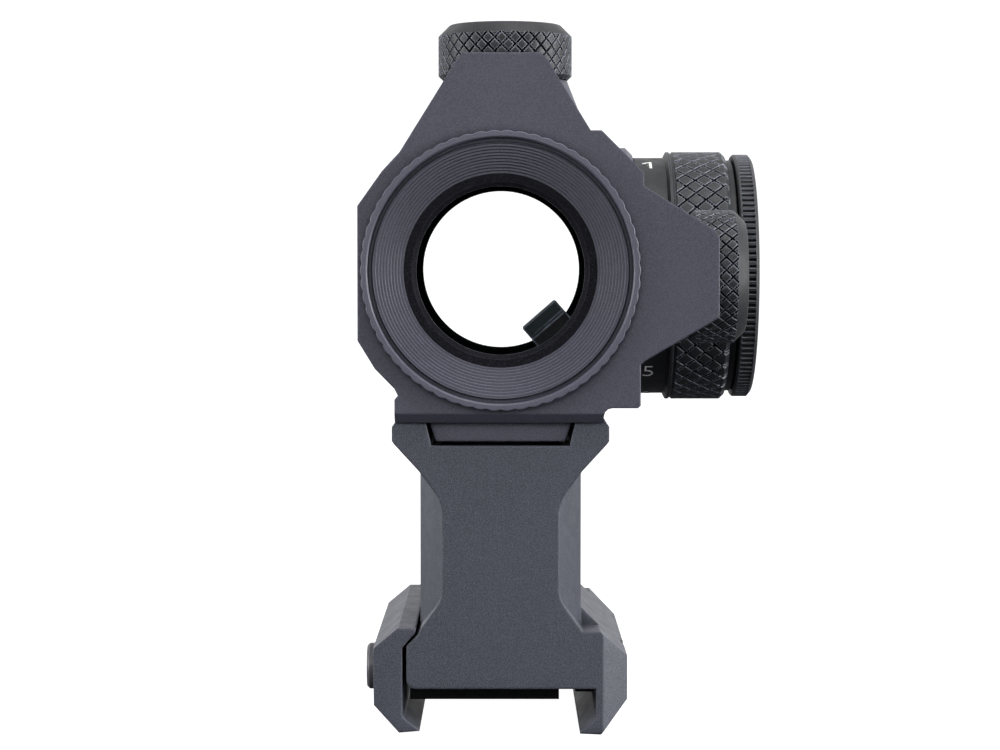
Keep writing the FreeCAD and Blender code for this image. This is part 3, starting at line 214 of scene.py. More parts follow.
def glass(name, tint, gloss):
    """Coated glass that the eye looks straight through, with a faint coloured reflection."""
    tree = Tree(name)
    smear = tree.noise(3 * MM, 3.0)
    clear = tree.add("ShaderNodeBsdfTransparent", {"Color": tint + (1.0,)}).outputs[0]
    bent = tree.add("ShaderNodeBump", {"Strength": 0.05, "Distance": 0.002 * MM, "Height": smear}).outputs[0]
    shine = tree.add("ShaderNodeBsdfGlossy",
                     {"Color": gloss + (1.0,), "Roughness": tree.remap(smear, 0.3, 0.7, 0.01, 0.05),
                      "Normal": bent}).outputs[0]
    share = tree.add("ShaderNodeFresnel", {"IOR": 1.06}).outputs[0]
    mixed = tree.add("ShaderNodeMixShader", {0: share, 1: clear, 2: shine})
    return tree.finish(mixed.outputs[0])


FINISHES = {
    "anodised": coated("anodised_graphite", (0.057, 0.0575, 0.078), rough=0.48, grain=0.13 * MM,
                       contrast=0.34, speckle=0.12, bump=0.4, corner=0.34 * MM, wear_and_highlight=3.2, specular=0.3,
                       corner_shade=0.9),
    "bead_blasted": coated("bead_blasted_grey", (0.050, 0.054, 0.071), rough=0.5, grain=0.14 * MM,
                           contrast=0.6, speckle=0.3, bump=1.0, depth=0.014 * MM, corner=0.4 * MM,
                           wear_and_highlight=2.0, corner_shade=0.9),
    "black_anodised": coated("black_anodised", (0.016, 0.017, 0.020), rough=0.42, grain=0.14 * MM,
                             contrast=0.3, bump=0.3, wear_and_highlight=3.2),
    "black_steel": coated("black_steel", (0.012, 0.012, 0.014), rough=0.42, grain=0.2 * MM,
                          contrast=0.3, bump=0.4, wear_and_highlight=3.2, specular=0.3),
    "steel": coated("plain_steel", (0.42, 0.42, 0.44), rough=0.3, metallic=1.0, grain=0.3 * MM,
                    contrast=0.1, stretch=(1, 1, 6), wear_and_highlight=1.3),
    "spring_steel": coated("spring_steel", (0.32, 0.32, 0.34), rough=0.34, metallic=1.0,
                           grain=0.2 * MM, contrast=0.15, wear_and_highlight=1.3),
    "brass": coated("turned_brass", (0.50, 0.34, 0.13), rough=0.3, metallic=1.0, grain=0.2 * MM,
                    contrast=0.12, stretch=(1, 1, 5), wear_and_highlight=1.2),
    "rubber": coated("black_rubber", (0.014, 0.014, 0.014), rough=0.7, grain=0.1 * MM,
                     contrast=0.3, bump=0.5, wear_and_highlight=1.2, specular=0.25),
    "polymer": coated("black_polymer", (0.018, 0.023, 0.024), rough=0.38, grain=0.18 * MM,
                      contrast=0.3, bump=0.4, wear_and_highlight=5.0),
    "board": coated("circuit_board", (0.015, 0.10, 0.045), rough=0.35, grain=0.4 * MM,
                    contrast=0.2, wear_and_highlight=1.4),
    "led": coated("diode_red", (0.45, 0.04, 0.03), rough=0.25, grain=0.3 * MM, contrast=0.1, wear_and_highlight=1.2),
    "cell": coated("nickel_can", (0.55, 0.55, 0.56), rough=0.26, metallic=1.0, grain=0.25 * MM,
                   contrast=0.08, stretch=(6, 1, 1), wear_and_highlight=1.1),
    "glass": glass("coated_glass", (0.997, 1.0, 0.998), (0.6, 0.8, 0.7)),
}
KNURLED = coated("knurled_anodised", (0.015, 0.016, 0.019), rough=0.5, grain=0.14 * MM, contrast=0.34,
                 speckle=0.3, bump=0.5, corner=0.08 * MM, line=0.06 * MM, wear_and_highlight=14.0, specular=0.32)
BEZEL_GREY = coated("bezel_grey", (0.072, 0.073, 0.099), rough=0.44, grain=0.13 * MM, contrast=0.3,
                    speckle=0.12, bump=0.4, corner=0.07 * MM, line=0.05 * MM, wear_and_highlight=2.6, corner_shade=1.0)
LENS_BLACK = coated("lens_black", (0.009, 0.009, 0.012), rough=0.5, grain=0.2 * MM, contrast=0.4,
                    speckle=0.6, bump=0.4, corner=0.1 * MM, line=0.08 * MM, wear_and_highlight=13.0, specular=0.04,
                    shelter=(0.0, 0.2))
# The inner tube's far end is painted a lighter greenish tone: painted light at the objective end.
TUBE_BLACK = coated("tube_black", (0.006, 0.007, 0.008), rough=0.6, grain=0.2 * MM, contrast=0.4,
                    bump=0.4, line=0.07 * MM, wear_and_highlight=8.0, specular=0.0,
                    far_glow=(33 * MM, 36 * MM, (0.025, 0.045, 0.040)))
# The emitter block's far part is painted a lighter greenish grey: painted light from the objective end.
EMITTER_BLACK = coated("emitter_black", (0.007, 0.008, 0.010), rough=0.5, grain=0.18 * MM, contrast=0.4,
                       bump=0.4, wear_and_highlight=20.0, specular=0.1, shelter=(0.0, 0.2),
                       far_glow=(-9.0 * MM, -8.5 * MM, (0.020, 0.029, 0.033)))
SCREW_GREY = coated("screw_grey", (0.07, 0.07, 0.08), rough=0.42, grain=0.18 * MM, contrast=0.25,
                    bump=0.4, wear_and_highlight=2.4)
PAINT = coated("numeral_paint", (0.93, 0.93, 0.91), rough=0.6, grain=0.12 * MM, contrast=0.05,
               bump=0.3, corner=0.02 * MM, line=0.02 * MM, wear_and_highlight=1.0, corner_shade=0.0)
OWN_FINISHES = {"ocular_retainer": LENS_BLACK, "objective_retainer": LENS_BLACK,
                "inner_tube": TUBE_BLACK, "clamp_screw": SCREW_GREY}

SLOTS = {part["node"]: part["material_slot"] for part in frame["record"]["subparts"]}
for node_name, piece in nodes.items():
    for index in range(len(piece.material_slots)):
        piece.material_slots[index].material = OWN_FINISHES.get(node_name, FINISHES[SLOTS[node_name]])


# ---- turned pieces with relief ----
class Axis:
    """A turning axis: a centre, the direction along it, and the direction of angle zero."""

    def __init__(self, centre, along, zero):
        self.centre = Vector(centre)
        self.along = Vector(along)
        self.zero = Vector(zero)
        self.side = self.along.cross(self.zero)

    def point(self, station, radius, angle):
        return (self.centre + self.along * station
                + (self.zero * math.cos(angle) + self.side * math.sin(angle)) * radius)


GROOVE_SHARE = 0.82
BEVEL_SHARE = 0.18


def diamonds(count, start, pitch, half):
    """Crossed helical grooves: 0 on the lands, 1 in the grooves, with a slight bevel at each edge."""
    def groove(angle, station):
        across = angle * count / TURN
        along = (station - start) / pitch
        gap = min(abs(total - round(total)) for total in (across + along, across - along))
        return GROOVE_SHARE * max(0.0, 1 - gap / half) + BEVEL_SHARE * max(0.0, 1 - gap / (2 * half))
    return groove


def serrations(count, share):
    """Straight grooves along the axis: 0 on the lands, 1 in the grooves."""
    def groove(angle, station):
        place = (angle * count / TURN) % 1.0
        return max(0.0, 1 - abs(place - 0.5) / share)
    return groove


def scallops(count):
    """Convex lobes round the edge: 0 on each lobe's crest, 1 in the notches."""
    def groove(angle, station):
        return 1 - abs(math.cos(angle * count / 2))
    return groove


def build(name, mesh_data, material, body, crease=32):
    """Turn the mesh data into a smooth-shaded piece that rides on the body; crease is in degrees."""
    mesh = bpy.data.meshes.new(name)
    mesh_data.to_mesh(mesh)
    mesh_data.free()
    mesh.polygons.foreach_set("use_smooth", [True] * len(mesh.polygons))
    mesh.set_sharp_from_angle(angle=math.radians(crease))
    mesh.materials.append(material)
    piece = bpy.data.objects.new(name, mesh)
    bpy.context.scene.collection.objects.link(piece)
    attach(piece, body)
    return piece


def bake(piece):
    """Turn the piece's modifiers into its own mesh."""
    bpy.context.view_layer.update()
    graph = bpy.context.evaluated_depsgraph_get()
    result = bpy.data.meshes.new_from_object(piece.evaluated_get(graph), preserve_all_data_layers=True,
                                             depsgraph=graph)
    piece.modifiers.clear()
    piece.data = result


def turned(axis, rows, segments, groove=None, marked=True):
    """Surface of revolution through rows of (station, radius, relief); a zero radius is a pole.

    When marked, the float vertex layer groove holds each vertex's share of the relief.
    """
    data = bmesh.new()
    wear_and_shading_mask = data.verts.layers.float.new("groove")
    rings = []
    for station, radius, relief in rows:
        if radius == 0:
            rings.append([data.verts.new(axis.point(station, 0, 0))])
            continue
        ring = []
        for index in range(segments):
            angle = TURN * index / segments
            share = groove(angle, station) if relief else 0.0
            vert = data.verts.new(axis.point(station, radius - relief * share, angle))
            vert[wear_and_shading_mask] = share if marked else 0.0
            ring.append(vert)
        rings.append(ring)
    pairs = list(zip(rings, rings[1:]))
    if len(rings[0]) > 1:
        pairs.append((rings[-1], rings[0]))
    for low, high in pairs:
        for index in range(segments):
            after = (index + 1) % segments
            if len(low) == 1:
                data.faces.new((low[0], high[after], high[index]))
            elif len(high) == 1:
                data.faces.new((low[index], low[after], high[0]))
            else:
                corners = (low[index], low[after], high[after], high[index])
                stations = [(v.co - axis.centre).project(axis.along) for v in corners]
                spans = [(v.co - axis.centre - s).length for v, s in zip(corners, stations)]
                if max(spans) - min(spans) < WELD or groove is None:
                    data.faces.new(corners)
                elif abs(spans[0] - spans[2]) < abs(spans[1] - spans[3]):
                    data.faces.new((corners[0], corners[1], corners[2]))
                    data.faces.new((corners[0], corners[2], corners[3]))
                else:
                    data.faces.new((corners[0], corners[1], corners[3]))
                    data.faces.new((corners[1], corners[2], corners[3]))
    bmesh.ops.recalc_face_normals(data, faces=data.faces)
    return data


def band(low, high, radius, relief, steps):
    """Rows of one knurled band, as (station, radius, relief)."""
    return [(low + (high - low) * step / steps, radius, relief) for step in range(steps + 1)]


def smooth(*points):
    """Rows of a plain turned profile, from (station, radius) points."""
    return [(station, radius, 0) for station, radius in points]


FLAT_ANGLE = math.radians(1)
SHARP_ANGLE = math.radians(28)
SOFT_SEGMENTS = 4


def softened(node, width, material, body):
    """The node's own shape with its sharp edges rounded in the mesh; writes float vertex layer edge."""
    data = bmesh.new()
    data.from_mesh(nodes[node].data)
    wear_and_shading_mask = data.verts.layers.float.new("edge")
    bmesh.ops.remove_doubles(data, verts=data.verts, dist=WELD)
    bmesh.ops.dissolve_limit(data, angle_limit=FLAT_ANGLE, verts=data.verts, edges=data.edges)
    sharp = [edge for edge in data.edges
             if len(edge.link_faces) == 2 and edge.calc_face_angle() > SHARP_ANGLE]
    made = bmesh.ops.bevel(data, geom=sharp, offset=width, segments=SOFT_SEGMENTS, affect="EDGES",
                           profile=0.5, clamp_overlap=True)
    strips = set(made["faces"])
    for vert in made["verts"]:
        vert[wear_and_shading_mask] = 1.0 if strips.issuperset(vert.link_faces) else 0.0
    piece = build(node + "_rounded", data, material, body)
    flatten = piece.modifiers.new("flat_faces", "WEIGHTED_NORMAL")
    flatten.keep_sharp = True
    bake(piece)
    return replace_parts(piece, node)


# ---- turret caps ----
CAP_CHAMFER = 1.3 * MM
CAP_LEAD = 0.45 * MM
CAP_BORE = 5.65 * MM
CAP_SEAL_BORE = 6.4 * MM
CAP_SEAL_ROOM = 0.95 * MM
CAP_ROOF = 2.2 * MM
CAP_EDGE = 0.12 * MM
CAP_DIAMONDS = 31
CAP_STEPS = 8
CAP_ROWS = 23
CAP_RELIEF = 0.32 * MM


def turret_cap(node, along, zero):
    """Cap with a diamond knurl between its lead and a plain turned chamfer."""
    low, high = (Vector(corner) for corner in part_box(node))
    along = Vector(along)
    across = Vector(zero)
    centre = (low + high) / 2
    radius = (high - low).dot(across) / 2
    height = (high - low).dot(along)
    foot = centre - along * height / 2
    axis = Axis(foot, along, across)
    knurl_low = CAP_LEAD
    knurl_high = height - CAP_CHAMFER
    pitch = (knurl_high - knurl_low) * CAP_STEPS / CAP_ROWS
    groove = diamonds(CAP_DIAMONDS, knurl_low, pitch, 1 / CAP_STEPS)
    rows = smooth((height - CAP_ROOF, 0), (height - CAP_ROOF, CAP_BORE), (CAP_SEAL_ROOM, CAP_BORE),
                  (CAP_SEAL_ROOM, CAP_SEAL_BORE), (0, CAP_SEAL_BORE), (0, radius - CAP_LEAD))
    rows += band(knurl_low, knurl_high, radius, CAP_RELIEF, CAP_ROWS)
    rows += smooth((knurl_high + CAP_EDGE, radius - CAP_EDGE),
                   (height - CAP_EDGE, radius - CAP_CHAMFER + CAP_EDGE),
                   (height - CAP_EDGE / 3, radius - CAP_CHAMFER),
                   (height, radius - CAP_CHAMFER - CAP_EDGE), (height, radius / 2), (height, 0))
    data = turned(axis, rows, CAP_DIAMONDS * CAP_STEPS, groove)
    piece = build(node + "_knurled", data, KNURLED, node)
    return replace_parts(piece, node)


turret_cap("elevation_cap", (0, 0, 1), (1, 0, 0))
turret_cap("windage_cap", (1, 0, 0), (0, 1, 0))


# ---- brightness dial ----
dial_low, dial_high = (Vector(corner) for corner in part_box("brightness_dial"))
DIAL_RADIUS = (dial_high.z - dial_low.z) / 2
dial_centre = (dial_low + dial_high) / 2
dial_axis = Axis((dial_low.x, dial_centre.y, dial_centre.z), (1, 0, 0), (0, -1, 0))
DIAL_BORE = 4.05 * MM
BOARD_ROOM_DEPTH = 1.65 * MM
BOARD_ROOM_RADIUS = 11.0 * MM
COLLAR_RADIUS = 14.3 * MM
COLLAR_LENGTH = 3.70 * MM
COLLAR_BREAK = 0.1 * MM
GRIP_START = 3.80 * MM
GRIP_END = 11.00 * MM
GRIP_CHAMFER = 0.45 * MM
RIM_RADIUS = 14.0 * MM
RIM_END = dial_high.x - dial_low.x
RIM_END_BREAK = 0.15 * MM
PLUG_WELL_RADIUS = 11.45 * MM
PLUG_WELL_FLOOR = 9.65 * MM
CELL_WELL_RADIUS = 10.4 * MM
CELL_WELL_FLOOR = 5.65 * MM
SCREW_WELL_RADIUS = 6.2 * MM
SCREW_WELL_FLOOR = 4.5 * MM
GRIP_LIP = 0.30 * MM
GRIP_RUNOUT = 0.45 * MM
GRIP_RUNOUT_DEPTH = 0.16 * MM
DIAL_DIAMONDS = 44
DIAL_STEPS = 10
DIAL_ROWS = 26
DIAL_RELIEF = 0.45 * MM


def brightness_dial():
    """Dial with a plain collar, a diamond-knurled grip and the wells for cell, screw and cap."""
    lip_end = GRIP_START + GRIP_CHAMFER / 2 + GRIP_LIP
    knurl_low = lip_end + GRIP_RUNOUT
    knurl_high = GRIP_END - GRIP_CHAMFER
    pitch = (knurl_high - knurl_low) * DIAL_STEPS / DIAL_ROWS
    groove = diamonds(DIAL_DIAMONDS, knurl_low, pitch, 1 / DIAL_STEPS)
    rows = smooth((BOARD_ROOM_DEPTH, DIAL_BORE), (BOARD_ROOM_DEPTH, BOARD_ROOM_RADIUS),
                  (0, BOARD_ROOM_RADIUS),
                  (0, COLLAR_RADIUS - COLLAR_BREAK), (COLLAR_BREAK, COLLAR_RADIUS),
                  (COLLAR_LENGTH, COLLAR_RADIUS), (GRIP_START, DIAL_RADIUS - GRIP_CHAMFER),
                  (GRIP_START + GRIP_CHAMFER / 2, DIAL_RADIUS), (lip_end, DIAL_RADIUS),
                  (lip_end + GRIP_RUNOUT / 3, DIAL_RADIUS - GRIP_RUNOUT_DEPTH),
                  (knurl_low - GRIP_RUNOUT / 4, DIAL_RADIUS - GRIP_RUNOUT_DEPTH))
    rows += band(knurl_low, knurl_high, DIAL_RADIUS, DIAL_RELIEF, DIAL_ROWS)
    rows += smooth((GRIP_END, DIAL_RADIUS - GRIP_CHAMFER), (GRIP_END, RIM_RADIUS),
                   (RIM_END - RIM_END_BREAK, RIM_RADIUS), (RIM_END, RIM_RADIUS - RIM_END_BREAK),
                   (RIM_END, PLUG_WELL_RADIUS), (PLUG_WELL_FLOOR, PLUG_WELL_RADIUS),
                   (PLUG_WELL_FLOOR, CELL_WELL_RADIUS), (CELL_WELL_FLOOR, CELL_WELL_RADIUS),
                   (CELL_WELL_FLOOR, SCREW_WELL_RADIUS), (SCREW_WELL_FLOOR, SCREW_WELL_RADIUS),
                   (SCREW_WELL_FLOOR, DIAL_BORE))
    data = turned(dial_axis, rows, DIAL_DIAMONDS * DIAL_STEPS, groove)
    piece = build("brightness_dial_knurled", data, KNURLED, "dial")
    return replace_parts(piece, "brightness_dial")


NUMERAL_HEIGHT = 2.0 * MM
NUMERAL_STATION = 1.55 * MM
NUMERAL_STAND = 0.03 * MM
NUMERAL_SINK = 0.05 * MM
NUMERAL_FIRST = math.radians(-97.75)
NUMERAL_STEP = math.radians(30)
NUMERAL_COUNT = 12
NUMERAL_SLICES = 10
NUMERAL_THINNING = -0.012
NUMERAL_WIDENING = 1.12
NUMERAL_GAP = 0.14
ONE_OUTLINE = ((0.12, -0.5), (0.25, -0.5), (0.25, 0.5), (0.14, 0.5),
               (-0.25, 0.33), (-0.25, 0.19), (0.12, 0.35))
GLYPH_SMOOTHNESS = 6
GLYPH_WELD = 0.0001


def built_in_glyph(character):
    """One character of the built-in font as a closed thin mesh."""
    curve = bpy.data.curves.new("numeral", "FONT")
    curve.body = character
    curve.extrude = 0.5
    curve.resolution_u = GLYPH_SMOOTHNESS
    curve.offset = NUMERAL_THINNING
    holder = bpy.data.objects.new("numeral", curve)
    bpy.context.scene.collection.objects.link(holder)
    bpy.context.view_layer.update()
    graph = bpy.context.evaluated_depsgraph_get()
    mesh = bpy.data.meshes.new_from_object(holder.evaluated_get(graph))
    bpy.data.objects.remove(holder)
    bpy.data.curves.remove(curve)
    data = bmesh.new()
    data.from_mesh(mesh)
    bpy.data.meshes.remove(mesh)
    bmesh.ops.remove_doubles(data, verts=data.verts, dist=GLYPH_WELD)
    return data


def plain_one():
    """The numeral one as a stem with a flag and no foot."""
    data = bmesh.new()
    front, back = [[data.verts.new((x, y, level)) for x, y in ONE_OUTLINE] for level in (0.5, -0.5)]
    data.faces.new(front)
    data.faces.new(list(reversed(back)))
    for index in range(len(front)):
        after = (index + 1) % len(front)
        data.faces.new((front[index], back[index], back[after], front[after]))
    bmesh.ops.triangulate(data, faces=data.faces)
    return data


def flat_text(text):
    """The text as closed thin glyphs, 1 unit tall, centred on its own middle."""
    whole = []
    cursor = 0.0
    for character in text:
        data = plain_one() if character == "1" else built_in_glyph(character)
        lows = [min(vert.co[way] for vert in data.verts) for way in (0, 1)]
        highs = [max(vert.co[way] for vert in data.verts) for way in (0, 1)]
        height = highs[1] - lows[1]
        for vert in data.verts:
            vert.co.x = (vert.co.x - lows[0]) / height + cursor
            vert.co.y = (vert.co.y - (lows[1] + highs[1]) / 2) / height
        cursor += (highs[0] - lows[0]) / height + NUMERAL_GAP
        for level in range(1, NUMERAL_SLICES):
            place = (0, level / NUMERAL_SLICES - 0.5, 0)
            geometry = list(data.verts) + list(data.edges) + list(data.faces)
            bmesh.ops.bisect_plane(data, geom=geometry, plane_co=place, plane_no=(0, 1, 0))
        whole.append(data)
    for data in whole:
        for vert in data.verts:
            vert.co.x -= (cursor - NUMERAL_GAP) / 2
    return whole


def dial_numerals():
    """Painted numerals round the dial's collar, each upright where it faces the eye."""
    whole = bmesh.new()
    for number in range(NUMERAL_COUNT):
        middle = NUMERAL_FIRST + NUMERAL_STEP * number
        for data in flat_text(str(number)):
            made = {}
            for vert in data.verts:
                depth = NUMERAL_STAND if vert.co.z > 0 else -NUMERAL_SINK
                radius = COLLAR_RADIUS + depth
                angle = middle - vert.co.y * NUMERAL_HEIGHT / COLLAR_RADIUS
                station = NUMERAL_STATION + vert.co.x * NUMERAL_HEIGHT * NUMERAL_WIDENING
                made[vert] = whole.verts.new(dial_axis.point(station, radius, angle))
            for face in data.faces:
                whole.faces.new([made[vert] for vert in face.verts])
            data.free()
    bmesh.ops.recalc_face_normals(whole, faces=whole.faces)
    return build("dial_numerals", whole, PAINT, "dial")


brightness_dial()
dial_numerals()


# ---- battery cap ----
BATTERY_TEETH = 120
BATTERY_STEPS = 6
TOOTH_RELIEF = 0.30 * MM
TOOTH_SHARE = 0.34
TOOTH_ROWS = 3
TOOTH_LEAD = 0.35 * MM
TOOTH_START = 0.40 * MM
TOOTH_END = 0.05 * MM
CAP_PLUG_RADIUS = 11.4 * MM
PLUG_SEAL_LOW = 0.95 * MM
PLUG_SEAL_HIGH = 1.75 * MM
PLUG_SEAL_FLOOR = 10.6 * MM
FLANGE_STATION = 2.30 * MM
FLANGE_BREAK = 0.2 * MM
BATTERY_CHAMFER = 0.4 * MM
FACE_BREAK_BACK = 0.06 * MM
FACE_BREAK_IN = 0.12 * MM
FACE_RING_SHARE = 0.6
SLOT_DEPTH = 1.1 * MM
SLOT_LENGTH = 20.0 * MM
SLOT_WIDTH = 1.7 * MM


def coin_cutter(middle):
    """Box that cuts the coin slot, centred on the middle of the cap's outer face."""
    data = bmesh.new()
    bmesh.ops.create_cube(data, size=1.0)
    for vert in data.verts:
        vert.co = Vector((vert.co.x * SLOT_DEPTH * 2, vert.co.y * SLOT_LENGTH,
                          vert.co.z * SLOT_WIDTH)) + middle
    mesh = bpy.data.meshes.new("coin_cutter")
    data.to_mesh(mesh)
    data.free()
    cutter = bpy.data.objects.new("coin_cutter", mesh)
    bpy.context.scene.collection.objects.link(cutter)
    return cutter


def battery_cap():
    """Cap with a sealed plug, a serrated flange and a coin slot."""
    low, high = (Vector(corner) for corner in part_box("battery_cap"))
    centre = (low + high) / 2
    radius = (high.z - low.z) / 2
    height = high.x - low.x
    axis = Axis((low.x, centre.y, centre.z), (1, 0, 0), (0, -1, 0))
    rows = smooth((0, 0), (0, CAP_PLUG_RADIUS), (PLUG_SEAL_LOW, CAP_PLUG_RADIUS),
                  (PLUG_SEAL_LOW, PLUG_SEAL_FLOOR), (PLUG_SEAL_HIGH, PLUG_SEAL_FLOOR),
                  (PLUG_SEAL_HIGH, CAP_PLUG_RADIUS), (FLANGE_STATION, CAP_PLUG_RADIUS),
                  (FLANGE_STATION, radius - FLANGE_BREAK), (FLANGE_STATION + FLANGE_BREAK, radius),
                  (FLANGE_STATION + TOOTH_LEAD, radius))
    rows += band(FLANGE_STATION + TOOTH_START, height - BATTERY_CHAMFER - TOOTH_END, radius, TOOTH_RELIEF,
                 TOOTH_ROWS)
    rows += smooth((height - BATTERY_CHAMFER, radius), (height - FACE_BREAK_BACK, radius - BATTERY_CHAMFER),
                   (height, radius - BATTERY_CHAMFER - FACE_BREAK_IN), (height, radius * FACE_RING_SHARE),
                   (height, 0))
    data = turned(axis, rows, BATTERY_TEETH * BATTERY_STEPS, serrations(BATTERY_TEETH, TOOTH_SHARE))
    piece = build("battery_cap_serrated", data, KNURLED, "battery_cap")
    cutter = coin_cutter(Vector((high.x, centre.y, centre.z)))
    boolean = piece.modifiers.new("coin_slot", "BOOLEAN")
    boolean.object = cutter
    boolean.solver = "EXACT"
    bake(piece)
    bpy.data.objects.remove(cutter)
    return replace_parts(piece, "battery_cap")


battery_cap()


# ---- rear bezel ----
BEZEL_SCALLOPS = 62
SEGMENTS_PER_SCALLOP = 12
SCALLOP_RELIEF = 0.16 * MM
SCALLOP_BREAK_IN = 0.08 * MM
SCALLOP_BREAK_BACK = 0.06 * MM
BEZEL_CREASE = 25
BEZEL_FLANGE = 1.0 * MM
BEZEL_PLUG = 14.5 * MM
RETAINER_WELL = 10.77 * MM
LENS_SEAT_BORE = 9.7 * MM
LENS_SEAT = 6.5 * MM
BEZEL_STEPS = 10
STEP_FIRST = 14.0 * MM
STEP_PITCH = 0.325 * MM
STEP_DROP = 0.25 * MM
STEP_SINK = 0.40 * MM
STEP_EDGE = 0.04 * MM
RIM_INNER = 14.62 * MM
RIM_BREAK = 0.15 * MM
COVE_DEPTH = 0.75 * MM
COVE_INNER = 14.1 * MM
COVE_ROUND = 0.16 * MM


def rear_bezel():
    """Ring with a lobed rim, a cove and the anti-glare steps down to the lens seat."""
    low, high = (Vector(corner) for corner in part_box("rear_bezel"))
    centre = (low + high) / 2
    radius = (high.x - low.x) / 2
    axis = Axis((centre.x, low.y, centre.z), (0, 1, 0), (1, 0, 0))
    length = high.y - low.y
    rows = smooth((0, RIM_INNER + RIM_BREAK))
    rows += [(0, radius - SCALLOP_BREAK_IN, SCALLOP_RELIEF), (SCALLOP_BREAK_BACK, radius, SCALLOP_RELIEF),
             (BEZEL_FLANGE, radius, SCALLOP_RELIEF)]
    rows += smooth((BEZEL_FLANGE, BEZEL_PLUG), (length, BEZEL_PLUG), (length, LENS_SEAT_BORE),
                   (LENS_SEAT, LENS_SEAT_BORE), (LENS_SEAT, RETAINER_WELL),
                   (STEP_SINK + BEZEL_STEPS * STEP_DROP, RETAINER_WELL))
    for step in reversed(range(BEZEL_STEPS)):
        step_radius = STEP_FIRST - step * STEP_PITCH
        top = STEP_SINK + step * STEP_DROP
        rows += smooth((top + STEP_DROP, step_radius), (top + STEP_EDGE, step_radius),
                       (top, step_radius + STEP_EDGE))
    rows += smooth((COVE_DEPTH - COVE_ROUND, COVE_INNER), (COVE_DEPTH, COVE_INNER + COVE_ROUND),
                   (COVE_DEPTH, RIM_INNER - COVE_ROUND), (COVE_DEPTH - COVE_ROUND, RIM_INNER),
                   (RIM_BREAK, RIM_INNER))
    segments = BEZEL_SCALLOPS * SEGMENTS_PER_SCALLOP
    data = turned(axis, rows, segments, scallops(BEZEL_SCALLOPS), marked=False)
    piece = build("rear_bezel_turned", data, BEZEL_GREY, "frame", crease=BEZEL_CREASE)
    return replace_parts(piece, "rear_bezel")


rear_bezel()


# ---- pieces with rounded edges ----
EMITTER_EDGE = 0.22 * MM
JAW_EDGE = 0.25 * MM
LUG_EDGE = 0.15 * MM
RISER_EDGE = 0.3 * MM
softened("emitter_block", EMITTER_EDGE, EMITTER_BLACK, "optic")
softened("clamp_jaw", JAW_EDGE, FINISHES["bead_blasted"], "clamp")
softened("recoil_lug", LUG_EDGE, FINISHES["black_steel"], "frame")
softened("riser", RISER_EDGE, FINISHES["bead_blasted"], "frame")


# ---- studio ----
FLOOR_SIZE = 6.0
FLOOR_DROP = 0.05 * MM
BACKDROP_START = 1.6
BACKDROP_TURN = 2.2
BACKDROP_ROWS = 25
BACKDROP_GLOW = 1.1
GLOW_NEAR = 0.10
GLOW_FAR = 0.45
FLOOR_CLOUD = 60 * MM
FLOOR_TONES = ((0.26, 0.26, 0.26, 1.0), (0.28, 0.28, 0.28, 1.0))
FLOOR_DARK = (0.06, 0.06, 0.063, 1.0)
WHITE = (1.0, 1.0, 1.0, 1.0)


def floor_material():
    """White to the eye; to other rays dark under the object and glowing behind it."""
    tree = Tree("pale_floor")
    cloud = tree.noise(FLOOR_CLOUD, 2.0)
    tone = tree.blend(tree.remap(cloud, 0.3, 0.7), *FLOOR_TONES)
    surface = tree.add("ShaderNodeBsdfDiffuse", {"Color": tone}).outputs[0]
    glow = tree.add("ShaderNodeEmission", {"Color": WHITE, "Strength": 1.0}).outputs[0]
    seen = tree.add("ShaderNodeAddShader", {0: surface, 1: glow}).outputs[0]
    dark = tree.add("ShaderNodeBsdfDiffuse", {"Color": FLOOR_DARK}).outputs[0]
    bright = tree.add("ShaderNodeEmission", {"Color": WHITE, "Strength": BACKDROP_GLOW}).outputs[0]
    place = tree.add("ShaderNodeTexCoord").outputs["Object"]
    depth_way = tree.add("ShaderNodeSeparateXYZ", {0: place}).outputs["Y"]
    behind = tree.remap(depth_way, GLOW_NEAR, GLOW_FAR)
    unseen = tree.add("ShaderNodeMixShader", {0: behind, 1: dark, 2: bright}).outputs[0]
    eye = tree.add("ShaderNodeLightPath").outputs["Is Camera Ray"]
    return tree.finish(tree.add("ShaderNodeMixShader", {0: eye, 1: unseen, 2: seen}).outputs[0])


def studio_floor():
    """Pale floor that curves up into a backdrop."""
    data = bmesh.new()
    level = cad_box[0].z - FLOOR_DROP
    places = [(-FLOOR_SIZE, 0.0)]
    for step in range(BACKDROP_ROWS - 1):
        angle = math.pi / 2 * step / (BACKDROP_ROWS - 2)
        places.append((BACKDROP_START + BACKDROP_TURN * math.sin(angle),
                       BACKDROP_TURN * (1 - math.cos(angle))))
    places.append((BACKDROP_START + BACKDROP_TURN, FLOOR_SIZE))
    rows = []
    for depth, height in places:
        rows.append([data.verts.new((side * FLOOR_SIZE, depth, level + height)) for side in (-1, 1)])
    for near, far in zip(rows, rows[1:]):
        data.faces.new((near[0], near[1], far[1], far[0]))
    mesh = bpy.data.meshes.new("studio_floor")
    data.to_mesh(mesh)
    data.free()
    mesh.polygons.foreach_set("use_smooth", [True] * len(mesh.polygons))
    mesh.materials.append(floor_material())
    floor = bpy.data.objects.new("studio_floor", mesh)
    bpy.context.scene.collection.objects.link(floor)


LIGHT_TARGET = (0, 0, 0.035)


def soft_light(name, place, power, size):
    """Round area light at the place in metres, aimed at the object; power in watts, size in metres."""
    light = bpy.data.lights.new(name, "AREA")
    light.shape = "DISK"
    light.size = size
    light.energy = power
    lamp = bpy.data.objects.new(name, light)
    lamp.location = place
    lamp.rotation_euler = (Vector(LIGHT_TARGET) - Vector(place)).to_track_quat("-Z", "Y").to_euler()
    bpy.context.scene.collection.objects.link(lamp)


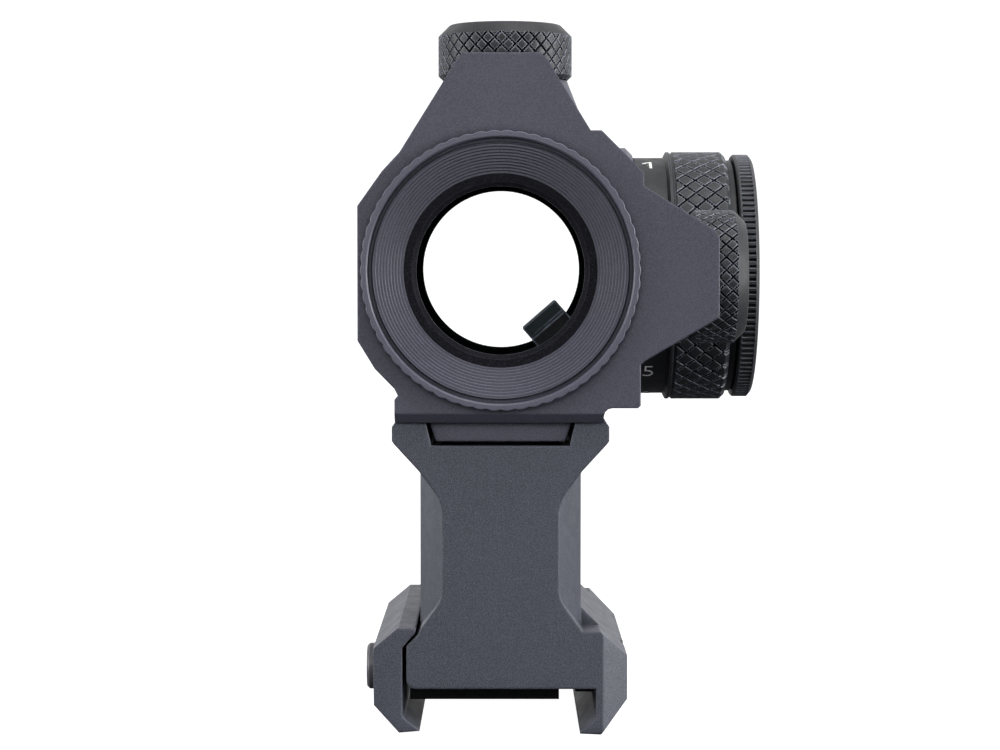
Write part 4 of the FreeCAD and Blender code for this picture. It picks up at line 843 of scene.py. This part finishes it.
WORLD_FRONT = 0.10
WORLD_BACK = 1.0
WORLD_SEEN = 1.2
WORLD_TURN_NEAR = -0.45
WORLD_TURN_FAR = 0.25


def studio_world():
    """White behind the object, dim behind the camera, and pure white to the eye."""
    world = bpy.data.worlds.new("studio_white")
    world.use_nodes = True
    tree = world.node_tree
    background = tree.nodes["Background"]
    background.inputs["Color"].default_value = WHITE
    path = tree.nodes.new("ShaderNodeLightPath")
    place = tree.nodes.new("ShaderNodeTexCoord")
    split = tree.nodes.new("ShaderNodeSeparateXYZ")
    tree.links.new(place.outputs["Generated"], split.inputs[0])
    behind = tree.nodes.new("ShaderNodeMapRange")
    behind.inputs["From Min"].default_value = WORLD_TURN_NEAR
    behind.inputs["From Max"].default_value = WORLD_TURN_FAR
    behind.inputs["To Min"].default_value = WORLD_FRONT
    behind.inputs["To Max"].default_value = WORLD_BACK
    tree.links.new(split.outputs["Y"], behind.inputs["Value"])
    strength = tree.nodes.new("ShaderNodeMix")
    tree.links.new(path.outputs["Is Camera Ray"], strength.inputs[0])
    tree.links.new(behind.outputs[0], strength.inputs[2])
    strength.inputs[3].default_value = WORLD_SEEN
    tree.links.new(strength.outputs[0], background.inputs["Strength"])
    bpy.context.scene.world = world


studio_floor()
studio_world()
soft_light("key_light", place=(0.12, -0.16, 0.60), power=2.4, size=0.40)
soft_light("front_light", place=(-0.10, -0.70, 0.36), power=2.5, size=0.50)
soft_light("left_light", place=(-0.55, -0.14, 0.08), power=3.6, size=0.35)
soft_light("right_light", place=(0.55, -0.15, 0.08), power=5.4, size=0.35)


# ---- camera ----
CAMERA_PLACE = Vector((0.4 * MM, -313 * MM, 47.5 * MM))
CAMERA_TILT = math.radians(2.45)
CAMERA_SWING = math.radians(0.09)
CAMERA_LENS = 95.4
CAMERA_SENSOR = 36.0
CAMERA_NEAR = 0.01


def studio_camera():
    """Long lens behind the eyepiece, a little above it and looking slightly down."""
    view = bpy.data.cameras.new("camera")
    view.lens = CAMERA_LENS
    view.sensor_width = CAMERA_SENSOR
    view.clip_start = CAMERA_NEAR
    camera = bpy.data.objects.new("camera", view)
    camera.location = CAMERA_PLACE
    camera.rotation_euler = (math.radians(90) - CAMERA_TILT, 0, CAMERA_SWING)
    bpy.context.scene.collection.objects.link(camera)
    bpy.context.scene.camera = camera


studio_camera()
bpy.context.scene.view_settings.view_transform = "Standard"
